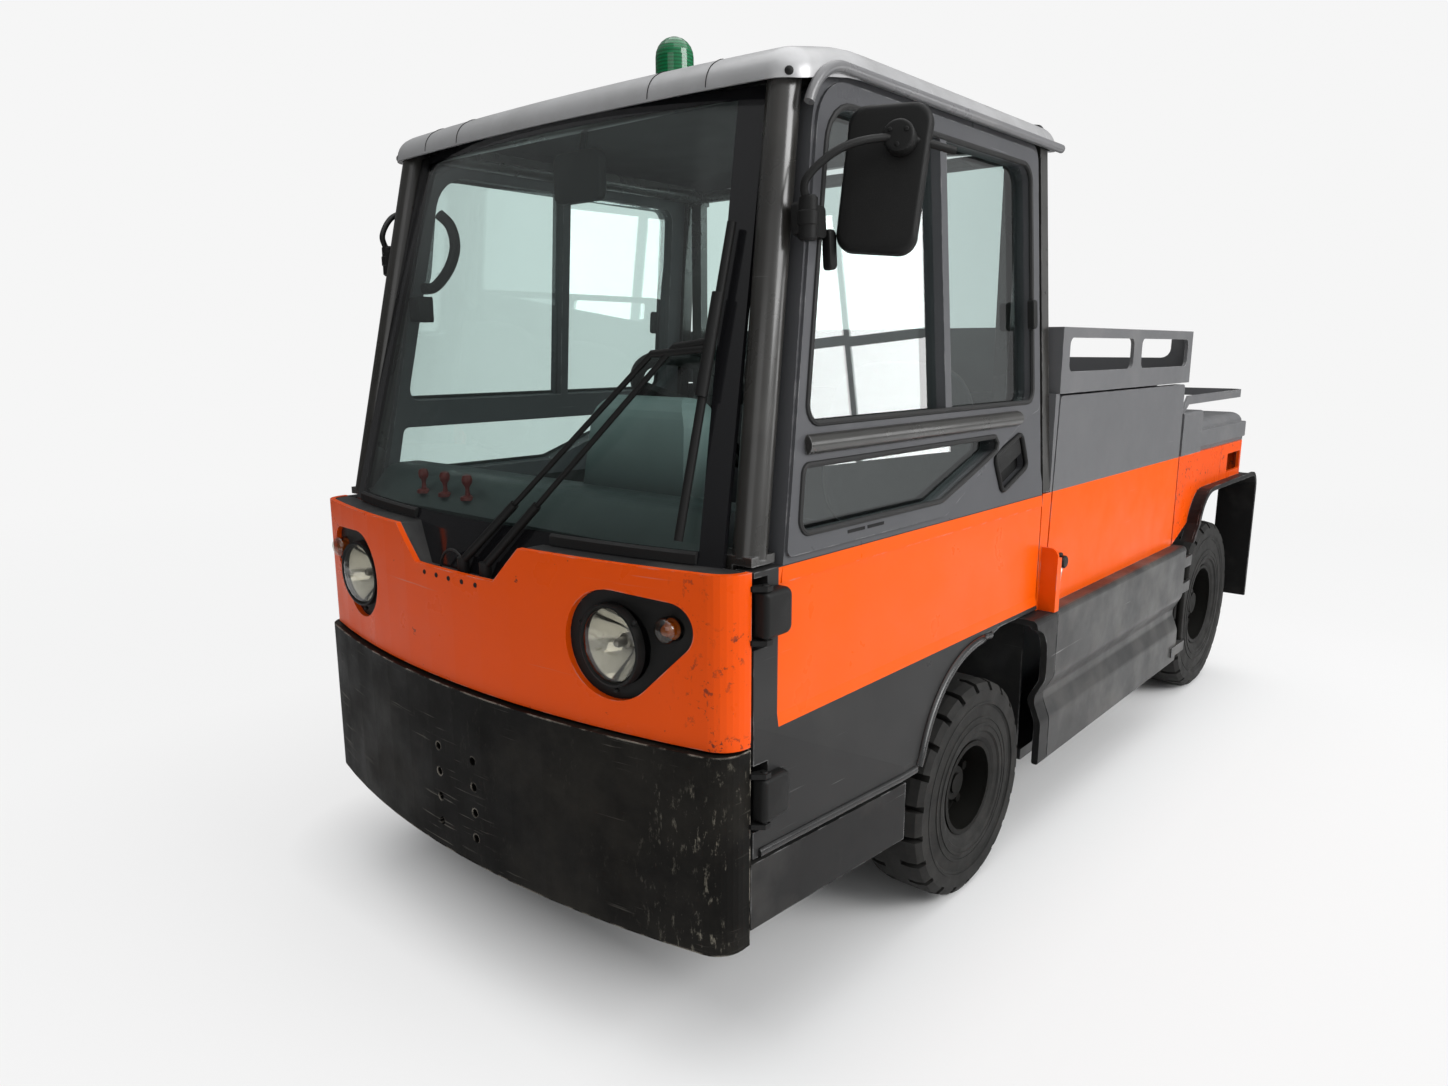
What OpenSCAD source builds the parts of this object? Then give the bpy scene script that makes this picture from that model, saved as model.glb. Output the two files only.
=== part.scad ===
// Airport tow tractor with a two-seat cab, a swing door over the battery on each side,
// a railed tray behind the cab and a low rear deck. Millimetres.
// The ground is z = 0, the front faces -Y and the driver's left side is +X.

/* [Body lengths] */
// Bow of the bumper to the front edge of the doors
nose_len = 160; // [140:5:220]
// Front edge of the cab doors to the front axle
door_front = 841; // [800:1:900]
// Front axle to the rear edge of the cab doors
door_behind = 306; // [304:1:360]
// Cab rear post, between cab door and side door
post_len = 48; // [40:1:80]
// Front axle to rear axle
wheelbase = 1960; // [1900:5:2100]
// Rear edge of the side doors to the rear axle
axle_back = 536; // [530:1:600]
// Rear axle to the rear panel
tail_len = 314; // [290:1:360]
// Towing jaw behind the rear panel
tow_reach = 104; // [90:1:130]

/* [Body widths and heights] */
// Width across the cab doors and the upper side doors
body_w = 1310; // [1270:2:1360]
// Width across the sills, side gates and fender lips
sill_w = 1400; // [1380:2:1440]
// Underside of the sills and side gates
sill_z = 235; // [215:1:260]
// Top ledge of the side gates
ledge_z = 645; // [635:1:670]
// Paint line between the orange band and the dark upper body
belt_z = 948; // [930:1:970]
// Top seam of the battery box, where the tray stands
box_z = 1196; // [1170:2:1240]
// Height of the tray walls
tray_h = 165; // [120:1:220]
// Top of the rear deck cover
deck_z = 1058; // [1030:1:1100]
// Sheet of the skins
skin = 12; // [8:1:16]

/* [Nose] */
// Radius of the bowed front in plan
bow_r = 2430; // [2000:10:3500]
// Radius of the front corners in plan
corner_r = 58; // [45:1:60]
// Underside of the bumper
bumper_z = 271; // [255:1:290]
// Top of the bumper
bumper_top = 640; // [625:1:642]
// Wall of the bumper
bumper_t = 25; // [20:1:32]
// Bumper in front of the orange nose panel
bumper_proud = 14; // [10:1:24]
// Notch in the nose panel: half width at its floor
notch_x = 132; // [110:1:150]
// Notch in the nose panel: half width at its top
notch_top_x = 206; // [190:1:220]
// Notch in the nose panel: floor height
notch_z = 877; // [870:1:900]
// Coupling holes in the bumper: diameter
hole_d = 18; // [14:0.5:22]
// Coupling holes: distance between the two columns
hole_x = 120; // [100:1:140]
// Coupling holes: pitch of the four rows
hole_pitch = 56; // [45:1:60]
// Coupling holes: height of the lowest row
hole_z = 330; // [315:1:345]

/* [Lamps] */
// Headlamp: distance from the middle
lamp_x = 420; // [400:1:440]
// Headlamp: height
lamp_z = 802; // [795:1:810]
// Headlamp: diameter over its ring
lamp_d = 150; // [130:1:164]
// Lamp opening: radius of its large round
lamp_hole_r = 100; // [92:1:106]
// Indicator: distance from the middle
ind_x = 538; // [530:1:545]
// Indicator: height
ind_z = 847; // [840:1:852]
// Indicator: lens diameter
ind_d = 46; // [36:1:52]
// Lamp opening: radius of its small round
ind_hole_r = 48; // [44:1:54]
// Tail lamp: diameter
tail_d = 90; // [70:1:110]

/* [Cab] */
// Inward lean of the upper cab sides, degrees
tumble = 4.2; // [3:0.1:5.5]
// Height of the upper doors over the paint line
top_h = 842; // [800:1:900]
// Front edge of the roof, below the heads of the doors
roof_drop = 38; // [30:1:60]
// Sides of the roof, above the heads of the doors
roof_rise = 42; // [34:1:60]
// Crown of the roof over its sides
roof_crown = 34; // [20:1:50]
// Front middle of the roof, behind the bow of the bumper
roof_front = 276; // [260:1:300]
// Foot of the windscreen, behind the bow of the bumper
screen_foot = 75; // [70:1:85]
// Diameter of the cab tubes
tube_d = 60; // [50:1:64]
// Top of the foot well
floor_z = 385; // [370:1:400]
// Top of the deck under the seats
seat_deck_z = 680; // [665:1:700]
// Thickness of the cab doors
door_t = 40; // [32:1:44]
// Underside of the cab doors at the sill
door_z = 434; // [430:1:450]
// Opening gap round doors and lids
gap = 6; // [5:0.5:8]
// Glass
glass_t = 8; // [6:0.5:10]

/* [Front wheels] */
// Front tyre diameter
ftyre_d = 530; // [510:1:545]
// Front tyre width
ftyre_w = 156; // [140:1:165]
// Front rim diameter
frim_d = 230; // [215:1:240]
// Outer faces of the front tyres, side to side
front_over = 1316; // [1290:2:1330]
// Kingpin, in from the middle of the tyre
kingpin_in = 112; // [104:1:118]
// Kingpin diameter
kingpin_d = 36; // [30:1:42]
// Front spindle diameter
fspindle_d = 50; // [40:1:56]

/* [Rear wheels] */
// Rear tyre diameter
rtyre_d = 650; // [630:1:665]
// Rear tyre width
rtyre_w = 190; // [175:1:200]
// Rear rim diameter
rrim_d = 306; // [290:1:320]
// Outer faces of the rear tyres, side to side
rear_over = 1274; // [1250:2:1290]
// Rear hub diameter
rhub_d = 110; // [95:1:120]

/* [Side doors and coupling] */
// Hinge pin of the side gate, behind the gate's upper door
hinge_back = 92; // [85:1:110]
// Hinge pin diameter
pin_d = 24; // [20:1:28]
// Running clearance of pins and hubs in their bores
run = 0.5; // [0.3:0.1:0.8]
// Towing pin diameter
tow_pin_d = 32; // [28:1:40]
// Underside of the lower jaw plate
tow_z = 340; // [320:1:380]
// Towing pin, behind the rear panel
tow_pin_back = 46; // [44:1:60]
// Height of the mouth of the towing jaw
tow_mouth = 110; // [90:1:130]

/* [Seats and controls] */
// Steering wheel diameter
swheel_d = 390; // [350:2:420]
// Driver and passenger, distance of the seats from the middle
seat_x = 262; // [245:1:300]
// Seat width
seat_w = 440; // [400:2:470]

/* [Hidden] */
$fn = 48;
total_len = nose_len + door_front + wheelbase + tail_len + tow_reach;
front_y = -total_len / 2;
door_f = front_y + nose_len;
faxle_y = door_f + door_front;
raxle_y = faxle_y + wheelbase;
door_r = faxle_y + door_behind;
door_len = door_front + door_behind;
box_f = door_r + post_len;
box_r = raxle_y - axle_back;
body_r = raxle_y + tail_len;
hw = body_w / 2;
sw = sill_w / 2;
panel_y = front_y + bumper_proud;
faxle_z = ftyre_d / 2;
raxle_z = rtyre_d / 2;
fwheel_x = front_over / 2 - ftyre_w / 2;
rwheel_x = rear_over / 2 - rtyre_w / 2;
kingpin_x = fwheel_x - kingpin_in;
gate_pin_x = sw - 22;
gate_pin_y = box_r + hinge_back;
door_pin_x = hw + 14;
door_pin_y = door_f + 14;
roof_side_z = belt_z + top_h;
roof_edge_z = roof_side_z - roof_drop;
roof_z = roof_side_z + roof_rise;
top_len = top_h / cos(tumble);
lean_foot = door_t * tan(tumble);
rail_x = hw - 140;
screen_y = front_y + screen_foot;
roof_y = front_y + roof_front;
screen_lean = atan((roof_y - screen_y + 10) / (roof_edge_z - belt_z));
tub_w = hw - door_t - gap - 6;
arch_r = 372;
cowl_t = 18;
seam_lean = 28;
well_z = notch_z - 8;
well_r = front_y + 94;

// Outline helpers
function arc(c, r, a0, a1, n = 8) =
    [for (i = [0:n]) [c[0] + r * cos(a0 + (a1 - a0) * i / n), c[1] + r * sin(a0 + (a1 - a0) * i / n)]];
function rounded(x0, y0, x1, y1, r, n = 5) = concat(
    arc([x1 - r, y1 - r], r, 0, 90, n), arc([x0 + r, y1 - r], r, 90, 180, n),
    arc([x0 + r, y0 + r], r, 180, 270, n), arc([x1 - r, y0 + r], r, 270, 360, n));
function flip(pts) = [for (p = pts) [-p[0], p[1]]];
function back(pts) = [for (i = [len(pts) - 1:-1:0]) pts[i]];

function unit(v) = v / norm(v);

// An outline with each corner rounded to its own radius
function fillet(pts, radii, n = 5) = [
    for (i = [0:len(pts) - 1])
        let (p = pts[i], a = unit(pts[(i + len(pts) - 1) % len(pts)] - p),
            b = unit(pts[(i + 1) % len(pts)] - p),
            r = radii[i], half = acos(a * b) / 2)
        each r == 0 ? [p] :
            let (c = p + unit(a + b) * r / sin(half), s = p + a * r / tan(half) - c, a0 = atan2(s[1],
                s[0]),
                turn = -sign(a[0] * b[1] - a[1] * b[0]) * (180 - 2 * half))
            [for (k = [0:n]) c + r * [cos(a0 + turn * k / n), sin(a0 + turn * k / n)]]];

// Half of the bowed nose in plan, set in by t, from the middle to the side at y_end
function bow_half(front, t, y_end) =
    let (yb = front + bow_r, xc = hw - corner_r, yc = yb - sqrt(pow(bow_r - corner_r, 2) - xc * xc),
        a = atan2(yc - yb, xc))
    concat(arc([0, yb], bow_r - t, -90, a, 7),
        [for (i = [1:7]) [xc, yc] + (corner_r - t) * [cos(a * (1 - i / 7)), sin(a * (1 - i / 7))]],
        [[hw - t, y_end]]);
function bow_line(front, t, y_end) =
    let (half = bow_half(front, t, y_end))
    concat(back(flip(half)), [for (i = [1:len(half) - 1]) half[i]]);
function bow_ring(front, t0, t1, y_end) =
    concat(bow_line(front, t0, y_end), back(bow_line(front, t1, y_end)));

// A Y-Z outline made solid from x0 to x1
module side_plate(x0, x1) {
    rotate([90, 0, 90])
        translate([0, 0, x0])
            linear_extrude(x1 - x0)
                children();
}

// An X-Z outline made solid from y0 to y1
module front_plate(y0, y1) {
    translate([0, y1, 0])
        rotate([90, 0, 0])
            linear_extrude(y1 - y0)
                children();
}

module both() {
    children();
    mirror([1, 0, 0])
        children();
}

module block(x0, x1, y0, y1, z0, z1) {
    translate([x0, y0, z0])
        cube([x1 - x0, y1 - y0, z1 - z0]);
}

module rod(p, q, d, spin = 0) {
    v = q - p;
    translate(p)
        rotate([0, acos(v[2] / norm(v)), atan2(v[1], v[0])])
            rotate(spin)
                cylinder(h = norm(v), d = d);
}

// The leaning plane of the upper cab side: outline in Y and height above the belt
module lean_plate(x0, x1) {
    translate([hw, 0, belt_z])
        rotate([0, -tumble, 0])
            side_plate(x0, x1)
                children();
}

// Frame
module front_frame() {
    beam_x = kingpin_x - 160;
    color("dimgray") {
        difference() {
            translate([0, 0, 300])
                linear_extrude(200)
                    polygon(bow_line(front_y, bumper_t, door_f - 30));
            block(-hw, hw, front_y + 90, door_f, 280, 520);
            for (i = [0:3], s = [-1, 1])
                translate([s * hole_x / 2, front_y - 10, hole_z + i * hole_pitch])
                    rotate([-90, 0, 0])
                        cylinder(h = 150, d = hole_d);
        }
        both()
            block(beam_x - 70, beam_x, front_y + 90, box_f - 10, faxle_z + 60, floor_z - 30);
    }
}

module battery_bay() {
    bay_w = sw - 75;
    wall_x = tub_w - 40;
    color("dimgray") {
        block(-bay_w, bay_w, box_f - 10, box_r + 5, sill_z - 20, sill_z + 10);
        block(-wall_x, wall_x, box_f - 10, box_f + 14, sill_z + 10, box_z);
        both()
            block(wall_x, hw - door_t - 2, box_f - 10, box_f - 4, sill_z + 10, ledge_z);
        block(-wall_x, wall_x, box_r - 15, box_r + 5, sill_z + 10, box_z);
    }
}

module rear_frame() {
    beam_x = 330;
    color("dimgray") {
        both()
            block(beam_x - 60, beam_x, box_r + 5, body_r - skin, raxle_z + 110, raxle_z + 230);
        block(-beam_x, beam_x, body_r - 40, body_r - skin, tow_z - 40, raxle_z + 230);
    }
}

// Cab
module cab_tub() {
    wall = 25;
    riser_y = faxle_y - arch_r - 10;
    wall_f = door_f - gap - 18;
    wall_x = hw - bumper_t - 12;
    color("dimgray") {
        side_plate(-tub_w, tub_w)
            polygon([[wall_f, floor_z - 30], [riser_y + wall, floor_z - 30],
                [riser_y + wall, seat_deck_z - 30], [box_f - 10, seat_deck_z - 30],
                [box_f - 10, seat_deck_z], [riser_y, seat_deck_z], [riser_y, floor_z],
                [door_f - gap, floor_z], [door_f - gap, belt_z - cowl_t], [wall_f, belt_z - cowl_t]]);
        block(-wall_x, wall_x, wall_f, door_f - gap, floor_z - 30, belt_z - cowl_t);
    }
}

module front_bumper() {
    color("black")
        difference() {
            translate([0, 0, bumper_z])
                linear_extrude(bumper_top - bumper_z)
                    polygon(bow_ring(front_y, 0, bumper_t, door_f - gap));
            for (i = [0:3], s = [-1, 1])
                translate([s * hole_x / 2, front_y - 10, hole_z + i * hole_pitch])
                    rotate([-90, 0, 0])
                        cylinder(h = 100, d = hole_d);
        }
}

// The lamp opening: a large round and a small round with straight sides between them
function lamp_opening(grow) =
    let (r0 = lamp_hole_r + grow, r1 = ind_hole_r + grow, dx = ind_x - lamp_x, dz = ind_z - lamp_z,
        turn = atan2(dz, dx), half = acos((r0 - r1) / norm([dx, dz])))
    concat(arc([lamp_x, lamp_z], r0, turn + half, turn + 360 - half, 24),
        arc([ind_x, ind_z], r1, turn - half, turn + half, 12));

module nose_panel() {
    top = belt_z + 2;
    color("darkorange")
        difference() {
            intersection() {
                translate([0, 0, ledge_z - 10])
                    linear_extrude(top - ledge_z + 20)
                        polygon(bow_ring(panel_y, 0, skin, door_f - gap));
                front_plate(front_y - 10, door_f)
                    polygon([[-hw - 10, ledge_z], [hw + 10, ledge_z], [hw + 10, top], [notch_top_x, top],
                        [notch_x, notch_z], [-notch_x, notch_z], [-notch_top_x, top], [-hw - 10, top]]);
            }
            front_plate(front_y - 10, door_f - 40)
                polygon(lamp_opening(0));
            front_plate(front_y - 10, door_f - 40)
                polygon(back(flip(lamp_opening(0))));
        }
}

module lamp_bezels() {
    color("black")
        both()
            difference() {
                intersection() {
                    translate([0, 0, ledge_z])
                        linear_extrude(belt_z - ledge_z)
                            polygon(bow_ring(panel_y, skin, skin + 10, door_f - gap));
                    front_plate(front_y, door_f - 30)
                        polygon(lamp_opening(8));
                }
                translate([lamp_x, front_y, lamp_z])
                    rotate([-90, 0, 0])
                        cylinder(h = 200, d = lamp_d);
                translate([ind_x, front_y, ind_z])
                    rotate([-90, 0, 0])
                        cylinder(h = 200, d = ind_d);
            }
}

module headlamps() {
    lamp_y = front_y + 52;
    lens_r = lamp_d / 2 - 7;
    bulge = 16;
    color("white")
        both()
            translate([lamp_x, lamp_y, lamp_z])
                rotate([-90, 0, 0])
                    rotate_extrude()
                        polygon(concat([for (i = [0:6]) [lens_r * sin(15 * i), -bulge * cos(15 * i)]],
                            [[lamp_d / 2, 4], [lamp_d / 2, 24], [lamp_d / 2 - 30, 24],
                                [lamp_d / 2 - 30, door_f - gap - 18 - lamp_y],
                                [0, door_f - gap - 18 - lamp_y]]));
}

module indicators() {
    ind_y = front_y + 68;
    r = ind_d / 2;
    color("orange")
        both()
            translate([ind_x, ind_y, ind_z])
                rotate([-90, 0, 0])
                    rotate_extrude()
                        polygon(concat([for (i = [0:5]) [r * sin(18 * i), -14 * cos(18 * i)]],
                            [[r, door_f - gap - 18 - ind_y], [0, door_f - gap - 18 - ind_y]]));
}

// Notch outline from the paint line down to the wiper well, set out by t
function well_line(t) = [[-notch_top_x - t, belt_z], [-notch_x - t, well_z - t],
    [notch_x + t, well_z - t],
    [notch_top_x + t, belt_z]];

// Cowl under the windscreen, with the wiper well behind the notch of the nose panel
module cowl() {
    plan = bow_line(panel_y, skin, door_f - gap);
    color("black") {
        difference() {
            translate([0, 0, belt_z - cowl_t])
                linear_extrude(cowl_t)
                    polygon(plan);
            front_plate(front_y, well_r)
                polygon(concat(well_line(0), [[notch_top_x, belt_z + 1], [-notch_top_x, belt_z + 1]]));
        }
        intersection() {
            translate([0, 0, well_z - cowl_t])
                linear_extrude(belt_z - well_z + cowl_t)
                    polygon(plan);
            union() {
                front_plate(front_y, well_r)
                    polygon(concat(well_line(cowl_t / 2), back(well_line(0))));
                front_plate(well_r, well_r + cowl_t / 2)
                    polygon(well_line(cowl_t / 2));
            }
        }
    }
}

module windscreen() {
    foot_w = hw - 62;
    top_w = hw - 128;
    h = roof_edge_z - well_z;
    color("lightcyan")
        difference() {
            intersection() {
                translate([0, screen_y, belt_z])
                    rotate([-screen_lean, 0, 0])
                        translate([0, -screen_y, well_z - belt_z - 60])
                            linear_extrude(h + 120)
                                polygon(bow_ring(screen_y, 0, glass_t, screen_y + 140));
                front_plate(front_y, roof_y + 200)
                    polygon(concat([[-foot_w, belt_z]], well_line(0),
                        [[foot_w, belt_z], [top_w, roof_edge_z], [-top_w, roof_edge_z]]));
            }
            both()
                rod(pillar_foot - pillar_reach, pillar_head + pillar_reach, tube_d + 2);
        }
}

// Parallel-arm wiper: two arms from the well, a carriage and the blade beside the left pillar.
// Each row: foot x, head x, head height over the paint line
wiper_arms = [[5, 408, 352], [78, 452, 364]];
blade_x = 520;
blade_zs = [42, 572];

// Point in front of the bowed glass at a place across and a height over the paint line
function on_glass(x, h, off) = [x, screen_y + h * tan(screen_lean) + x * x / (2 * bow_r) - off,
    belt_z + h];

module wipers() {
    pivot = [0, front_y + 42, well_z];
    color("black") {
        for (a = wiper_arms) {
            foot = pivot + [a[0], 0, 0];
            head = on_glass(a[1], a[2], 26);
            hub = foot + [0, 0, 26];
            translate(foot)
                cylinder(h = 34, d = 24);
            rod(hub, head, 11);
            rod(hub, hub + (head - hub) * 0.3, 18);
            rod(head, on_glass(blade_x, a[2] + 10, 26), 14);
        }
        rod(on_glass(blade_x, blade_zs[0], 20), on_glass(blade_x, blade_zs[1], 20), 16);
        rod(on_glass(blade_x, wiper_arms[0][2] - 70, 24), on_glass(blade_x, wiper_arms[1][2] + 90, 24),
            22);
    }
}

pillar_foot = [hw - 38, door_f + 34, belt_z + 12];
pillar_head = [hw - 96, roof_y + 74, roof_edge_z];
pillar_reach = unit(pillar_head - pillar_foot) * 60;

// Outline under the roof shell: a low front edge, then the door heads
function roof_line(rear, top) = [[roof_y - 60, roof_edge_z], [roof_y + 40, roof_edge_z],
    [roof_y + 90, roof_side_z],
    [rear, roof_side_z], [rear, top]];

module cab_frame() {
    rail_d = 40;
    rail_z = roof_side_z - rail_d / 2 - 2;
    head = [pillar_head[0] - 24, pillar_head[1] + 40, rail_z];
    post_x = tub_w - 46;
    color("black")
        difference() {
            union() {
                both() {
                    block(post_x, tub_w, door_f + 6, door_f + 56, floor_z, belt_z + gap + 16);
                    block(post_x, hw - 10, door_f + 6, door_f + 67, belt_z + gap, belt_z + gap + 16);
                    rod(pillar_foot, pillar_head + pillar_reach, tube_d, 100);
                    rod(head, [rail_x, box_f - 24, rail_z], rail_d);
                    block(rail_x - 14, rail_x + 16, roof_y + 220, box_f - 70, rail_z, roof_side_z + 4);
                    lean_plate(-door_t, 0)
                        polygon([[door_r + gap, lean_foot], [box_f - 2, lean_foot],
                            [box_f - 2, top_len + 10],
                            [door_r + gap, top_len + 10]]);
                    block(rail_x - 16, hw - door_t - 62, box_f - 42, box_f - 6, rail_z - 26, rail_z + 8);
                    // Upright beside the rear window
                    block(tub_w - 100, tub_w - 62, box_f - 42, box_f - 12, seat_deck_z, rail_z);
                }
                rod([-head[0], head[1], rail_z], head, rail_d - 6);
                rod([-rail_x, box_f - 24, rail_z], [rail_x, box_f - 24, rail_z], rail_d - 6);
            }
            side_plate(-hw, hw)
                polygon(concat(roof_line(box_f + 100, roof_z + 200), [[roof_y - 60, roof_z + 200]]));
        }
}

// Cross-section of the roof: crowned top, round edges and a gutter lip along each side
roof_hw = hw - 52;
roof_edge_r = 52;
crown_r = (roof_hw * roof_hw + roof_crown * roof_crown) / (2 * roof_crown);
function roof_section() =
    let (crown_a = asin((roof_hw - roof_edge_r) / crown_r), c = roof_z - roof_edge_r + 3)
    concat([[-roof_hw, roof_edge_z], [roof_hw, roof_edge_z]],
        arc([roof_hw - roof_edge_r, c], roof_edge_r, 0, 60, 6),
        arc([0, roof_z + roof_crown - crown_r], crown_r, 90 - crown_a, 90 + crown_a, 12),
        arc([-roof_hw + roof_edge_r, c], roof_edge_r, 120, 180, 6));
roof_pitch = 0.27;
front_edge = 6.6;

// The front of the roof rises from its thin edge to the crown
function slope_z(y) = roof_edge_z + front_edge + roof_pitch * (y - roof_y + 60);
function roof_slope(top) =
    [[roof_y - 60, slope_z(roof_y - 60)], [roof_y - 60 + (top - slope_z(roof_y - 60)) / roof_pitch, top]];

module roof() {
    rear = box_f + 30;
    top = roof_z + roof_crown;
    lip = 16;
    lip_h = 12;
    lip_r = 116;
    lip_c = [roof_y + 178, roof_side_z - 100];
    color("silver")
        union() {
            intersection() {
                front_plate(roof_y - 50, rear)
                    polygon(roof_section());
                side_plate(-hw, hw)
                    polygon(concat(roof_line(rear, top + 10), back(roof_slope(top + 10))));
                translate([0, 0, roof_edge_z - 10])
                    linear_extrude(200)
                        polygon(concat([[-roof_hw, rear]], bow_line(roof_y - 40, 30, roof_y + 300),
                            [[roof_hw, rear]]));
            }
            // Gutter lip, curved down behind the front pillar and run past the rear edge
            both()
                side_plate(roof_hw - 3, roof_hw + lip)
                    polygon(concat(arc(lip_c, lip_r - lip_h, 158, 90, 8),
                        [[rear + 8, lip_c[1] + lip_r - lip_h], [rear + 8, lip_c[1] + lip_r]],
                        arc(lip_c, lip_r, 90, 158, 8)));
        }
}

// Beacon on the crown of the roof
beacon_at = [120, roof_y + 269];
beacon_d = 80;
beacon_z = slope_z(beacon_at[1]) + 16;

module beacon_base() {
    color("black")
        difference() {
            translate([beacon_at[0], beacon_at[1], beacon_z - 60])
                cylinder(h = 60, d = beacon_d + 10);
            translate([0, 0, 0.3])
                side_plate(-hw, hw)
                    polygon(concat(roof_slope(roof_z + roof_crown), [[box_f, roof_edge_z - 50],
                        [roof_y - 60, roof_edge_z - 50]]));
        }
}

module beacon_lens() {
    r = beacon_d / 2;
    straight = 42;
    color("green")
        translate([beacon_at[0], beacon_at[1], beacon_z])
            rotate_extrude()
                polygon(concat([[0, 0], [r, 0]], [for (i = [0:6]) [r * cos(15 * i),
                    straight + r * sin(15 * i)]]));
}

module rear_window() {
    color("lightcyan")
        front_plate(box_f, box_f + glass_t)
            polygon([[-tub_w + 30, box_z], [tub_w - 30, box_z], [hw - 110, roof_side_z],
                [-hw + 110, roof_side_z]]);
}

// Fixed strip behind each cab door, with the folded catch plate that stands out from it
module post_strips() {
    fin_f = box_f - 30;
    fin_t = 8;
    fin_h = 166;
    color("darkorange")
        both()
            union() {
                side_plate(hw - 30, hw)
                    polygon([[door_r + gap, belt_z], [door_r + gap, ledge_z], [box_f - 4, ledge_z],
                        [box_f - 4 + seam_lean, box_z], [box_f, box_z], [box_f, belt_z]]);
                front_plate(fin_f, fin_f + fin_t)
                    polygon(fillet([[hw - 2, ledge_z], [sw, ledge_z], [sw, ledge_z + fin_h],
                        [hw - 2, ledge_z + fin_h]],
                        [0, 0, 22, 0], 5));
                block(sw - fin_t, sw, fin_f + fin_t - 1, fin_f + 26, ledge_z, ledge_z + fin_h - 26);
            }
}

// Cab doors, drawn for the left side and mirrored for the right
edge_f = door_f + 72;
edge_top = roof_y + 118;
flare = 34;
step_z = sill_z + 65;
hinge_zs = [door_z + 112, belt_z - 72];
hinge_cover_r = door_f + 76;

// Front edge of the upper door at height h above the belt, which follows the pillar
function edge_y(h) = edge_f + (edge_top - edge_f) * h / top_len;

// Plan line of the lower side, which flares out from the bumper to the wheel arch
function flare_line(proud) = [[hw + proud, door_f - gap], [hw + flare + proud, faxle_y - arch_r - 10]];

// Lower door outline; the wheel arch is cut from it
function door_low() = [[door_f, belt_z], [door_f, door_z], [faxle_y, door_z],
    [faxle_y + 27, ledge_z - 23],
    [faxle_y + 140, ledge_z + gap], [door_r, ledge_z + gap], [door_r, belt_z]];
function door_up() = fillet(
    [[edge_f, -30], [door_r, -30], [door_r, 30], [door_r - 8, 60], [door_r - 8, top_len - gap],
        [edge_y(top_len - gap), top_len - gap]],
    [0, 0, 0, 0, 40, 110], 8);
function window_up(grow) = fillet(
    [[edge_y(232) + 34 - grow, 232 - grow], [door_r - 62 + grow, 232 - grow],
        [door_r - 62 + grow, top_len - 60 + grow], [edge_y(top_len - 60) + 34 - grow,
        top_len - 60 + grow]],
    [30, 30, 40, 90], 6);
function window_low(grow) = fillet(
    [[edge_y(44) + 36 - grow, 44 - grow], [door_f + 622 + grow / 2, 44 - grow],
        [door_r - 160 + grow, 166 + grow], [edge_y(166) + 34 - grow, 166 + grow]],
    [24, 60, 18, 18], 6);
function grip_pocket(grow) = fillet(
    [[door_r - 231 - grow, 32 - grow], [door_r - 95 + grow, 80 - grow / 2],
    [door_r - 124 + grow, 162 + grow],
        [door_r - 268 - grow / 2, 117 + grow]],
    [16, 16, 16, 16], 4);

// Post between the two panes of the upper window
module divider() {
    translate([door_f + 648, 200])
        square([26, top_len]);
}

module door_shell() {
    color("darkorange")
        difference() {
            union() {
                side_plate(hw - door_t, hw)
                    polygon(door_low());
                lean_plate(-door_t, 0)
                    polygon(door_up());
                lean_plate(-1, 6)
                    polygon(fillet([[edge_f + 10, 12], [door_f + 640, 12], [door_r - 118, 192],
                        [door_r - 22, 214],
                        [door_r - 22, top_len - 24], [edge_y(top_len - 24) + 8, top_len - 24]],
                        [14, 60, 40, 20, 40, 100], 8));
                intersection() {
                    front_plate(door_f, door_r)
                        polygon([[hw - 2, ledge_z + 40], [hw, ledge_z + 40], [hw + flare, door_z + 30],
                            [hw + flare, door_z], [hw - 2, door_z]]);
                    translate([0, 0, door_z - 1])
                        linear_extrude(ledge_z + 60 - door_z)
                            polygon(concat([[hw - 2, door_f - gap]], flare_line(0.5),
                                [[hw + flare, door_r],
                                [hw - 2, door_r]]));
                }
            }
            lean_plate(-door_t - 1, 8)
                difference() {
                    polygon(window_up(0));
                    divider();
                }
            lean_plate(-door_t - 1, 8)
                polygon(window_low(0));
            lean_plate(-22, 8)
                polygon(grip_pocket(0));
            translate([hw - door_t - 5, faxle_y, faxle_z])
                rotate([0, 90, 0])
                    cylinder(h = 120, r = arch_r, $fn = 96);
            block(hw - 4, hw + 60, faxle_y, door_r + 1, door_z - 1, ledge_z + gap);
            for (z = hinge_zs)
                block(hw - door_t - 1, hw + 60, door_f - 1, door_pin_y + 22, z - 62, z + 62);
            for (z = hinge_zs)
                block(hw, hw + 60, door_pin_y + 20, hinge_cover_r + 1, z - 37, z + 37);
        }
}

module door_glass() {
    color("lightcyan")
        lean_plate(-door_t / 2 - glass_t / 2, -door_t / 2 + glass_t / 2) {
            difference() {
                polygon(window_up(0));
                divider();
            }
            polygon(window_low(0));
        }
}

module door_fittings() {
    rail_h = 199;
    color("silver") {
        // Half-round rail under the sliding panes
        intersection() {
            lean_plate(6, 30)
                polygon(rounded(edge_y(rail_h) + 36, rail_h - 20, door_r - 150, rail_h + 20, 14));
            translate([hw, 0, belt_z])
                rotate([0, -tumble, 0])
                    translate([4, door_f, rail_h])
                        rotate([-90, 0, 0])
                            cylinder(h = door_len, d = 36);
        }
        // Pull bar in the pocket
        lean_plate(-22, -4)
            polygon(fillet([[door_r - 244, 84], [door_r - 112, 124], [door_r - 128, 152],
                [door_r - 256, 112]],
                [8, 8, 8, 8], 3));
    }
}

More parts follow.
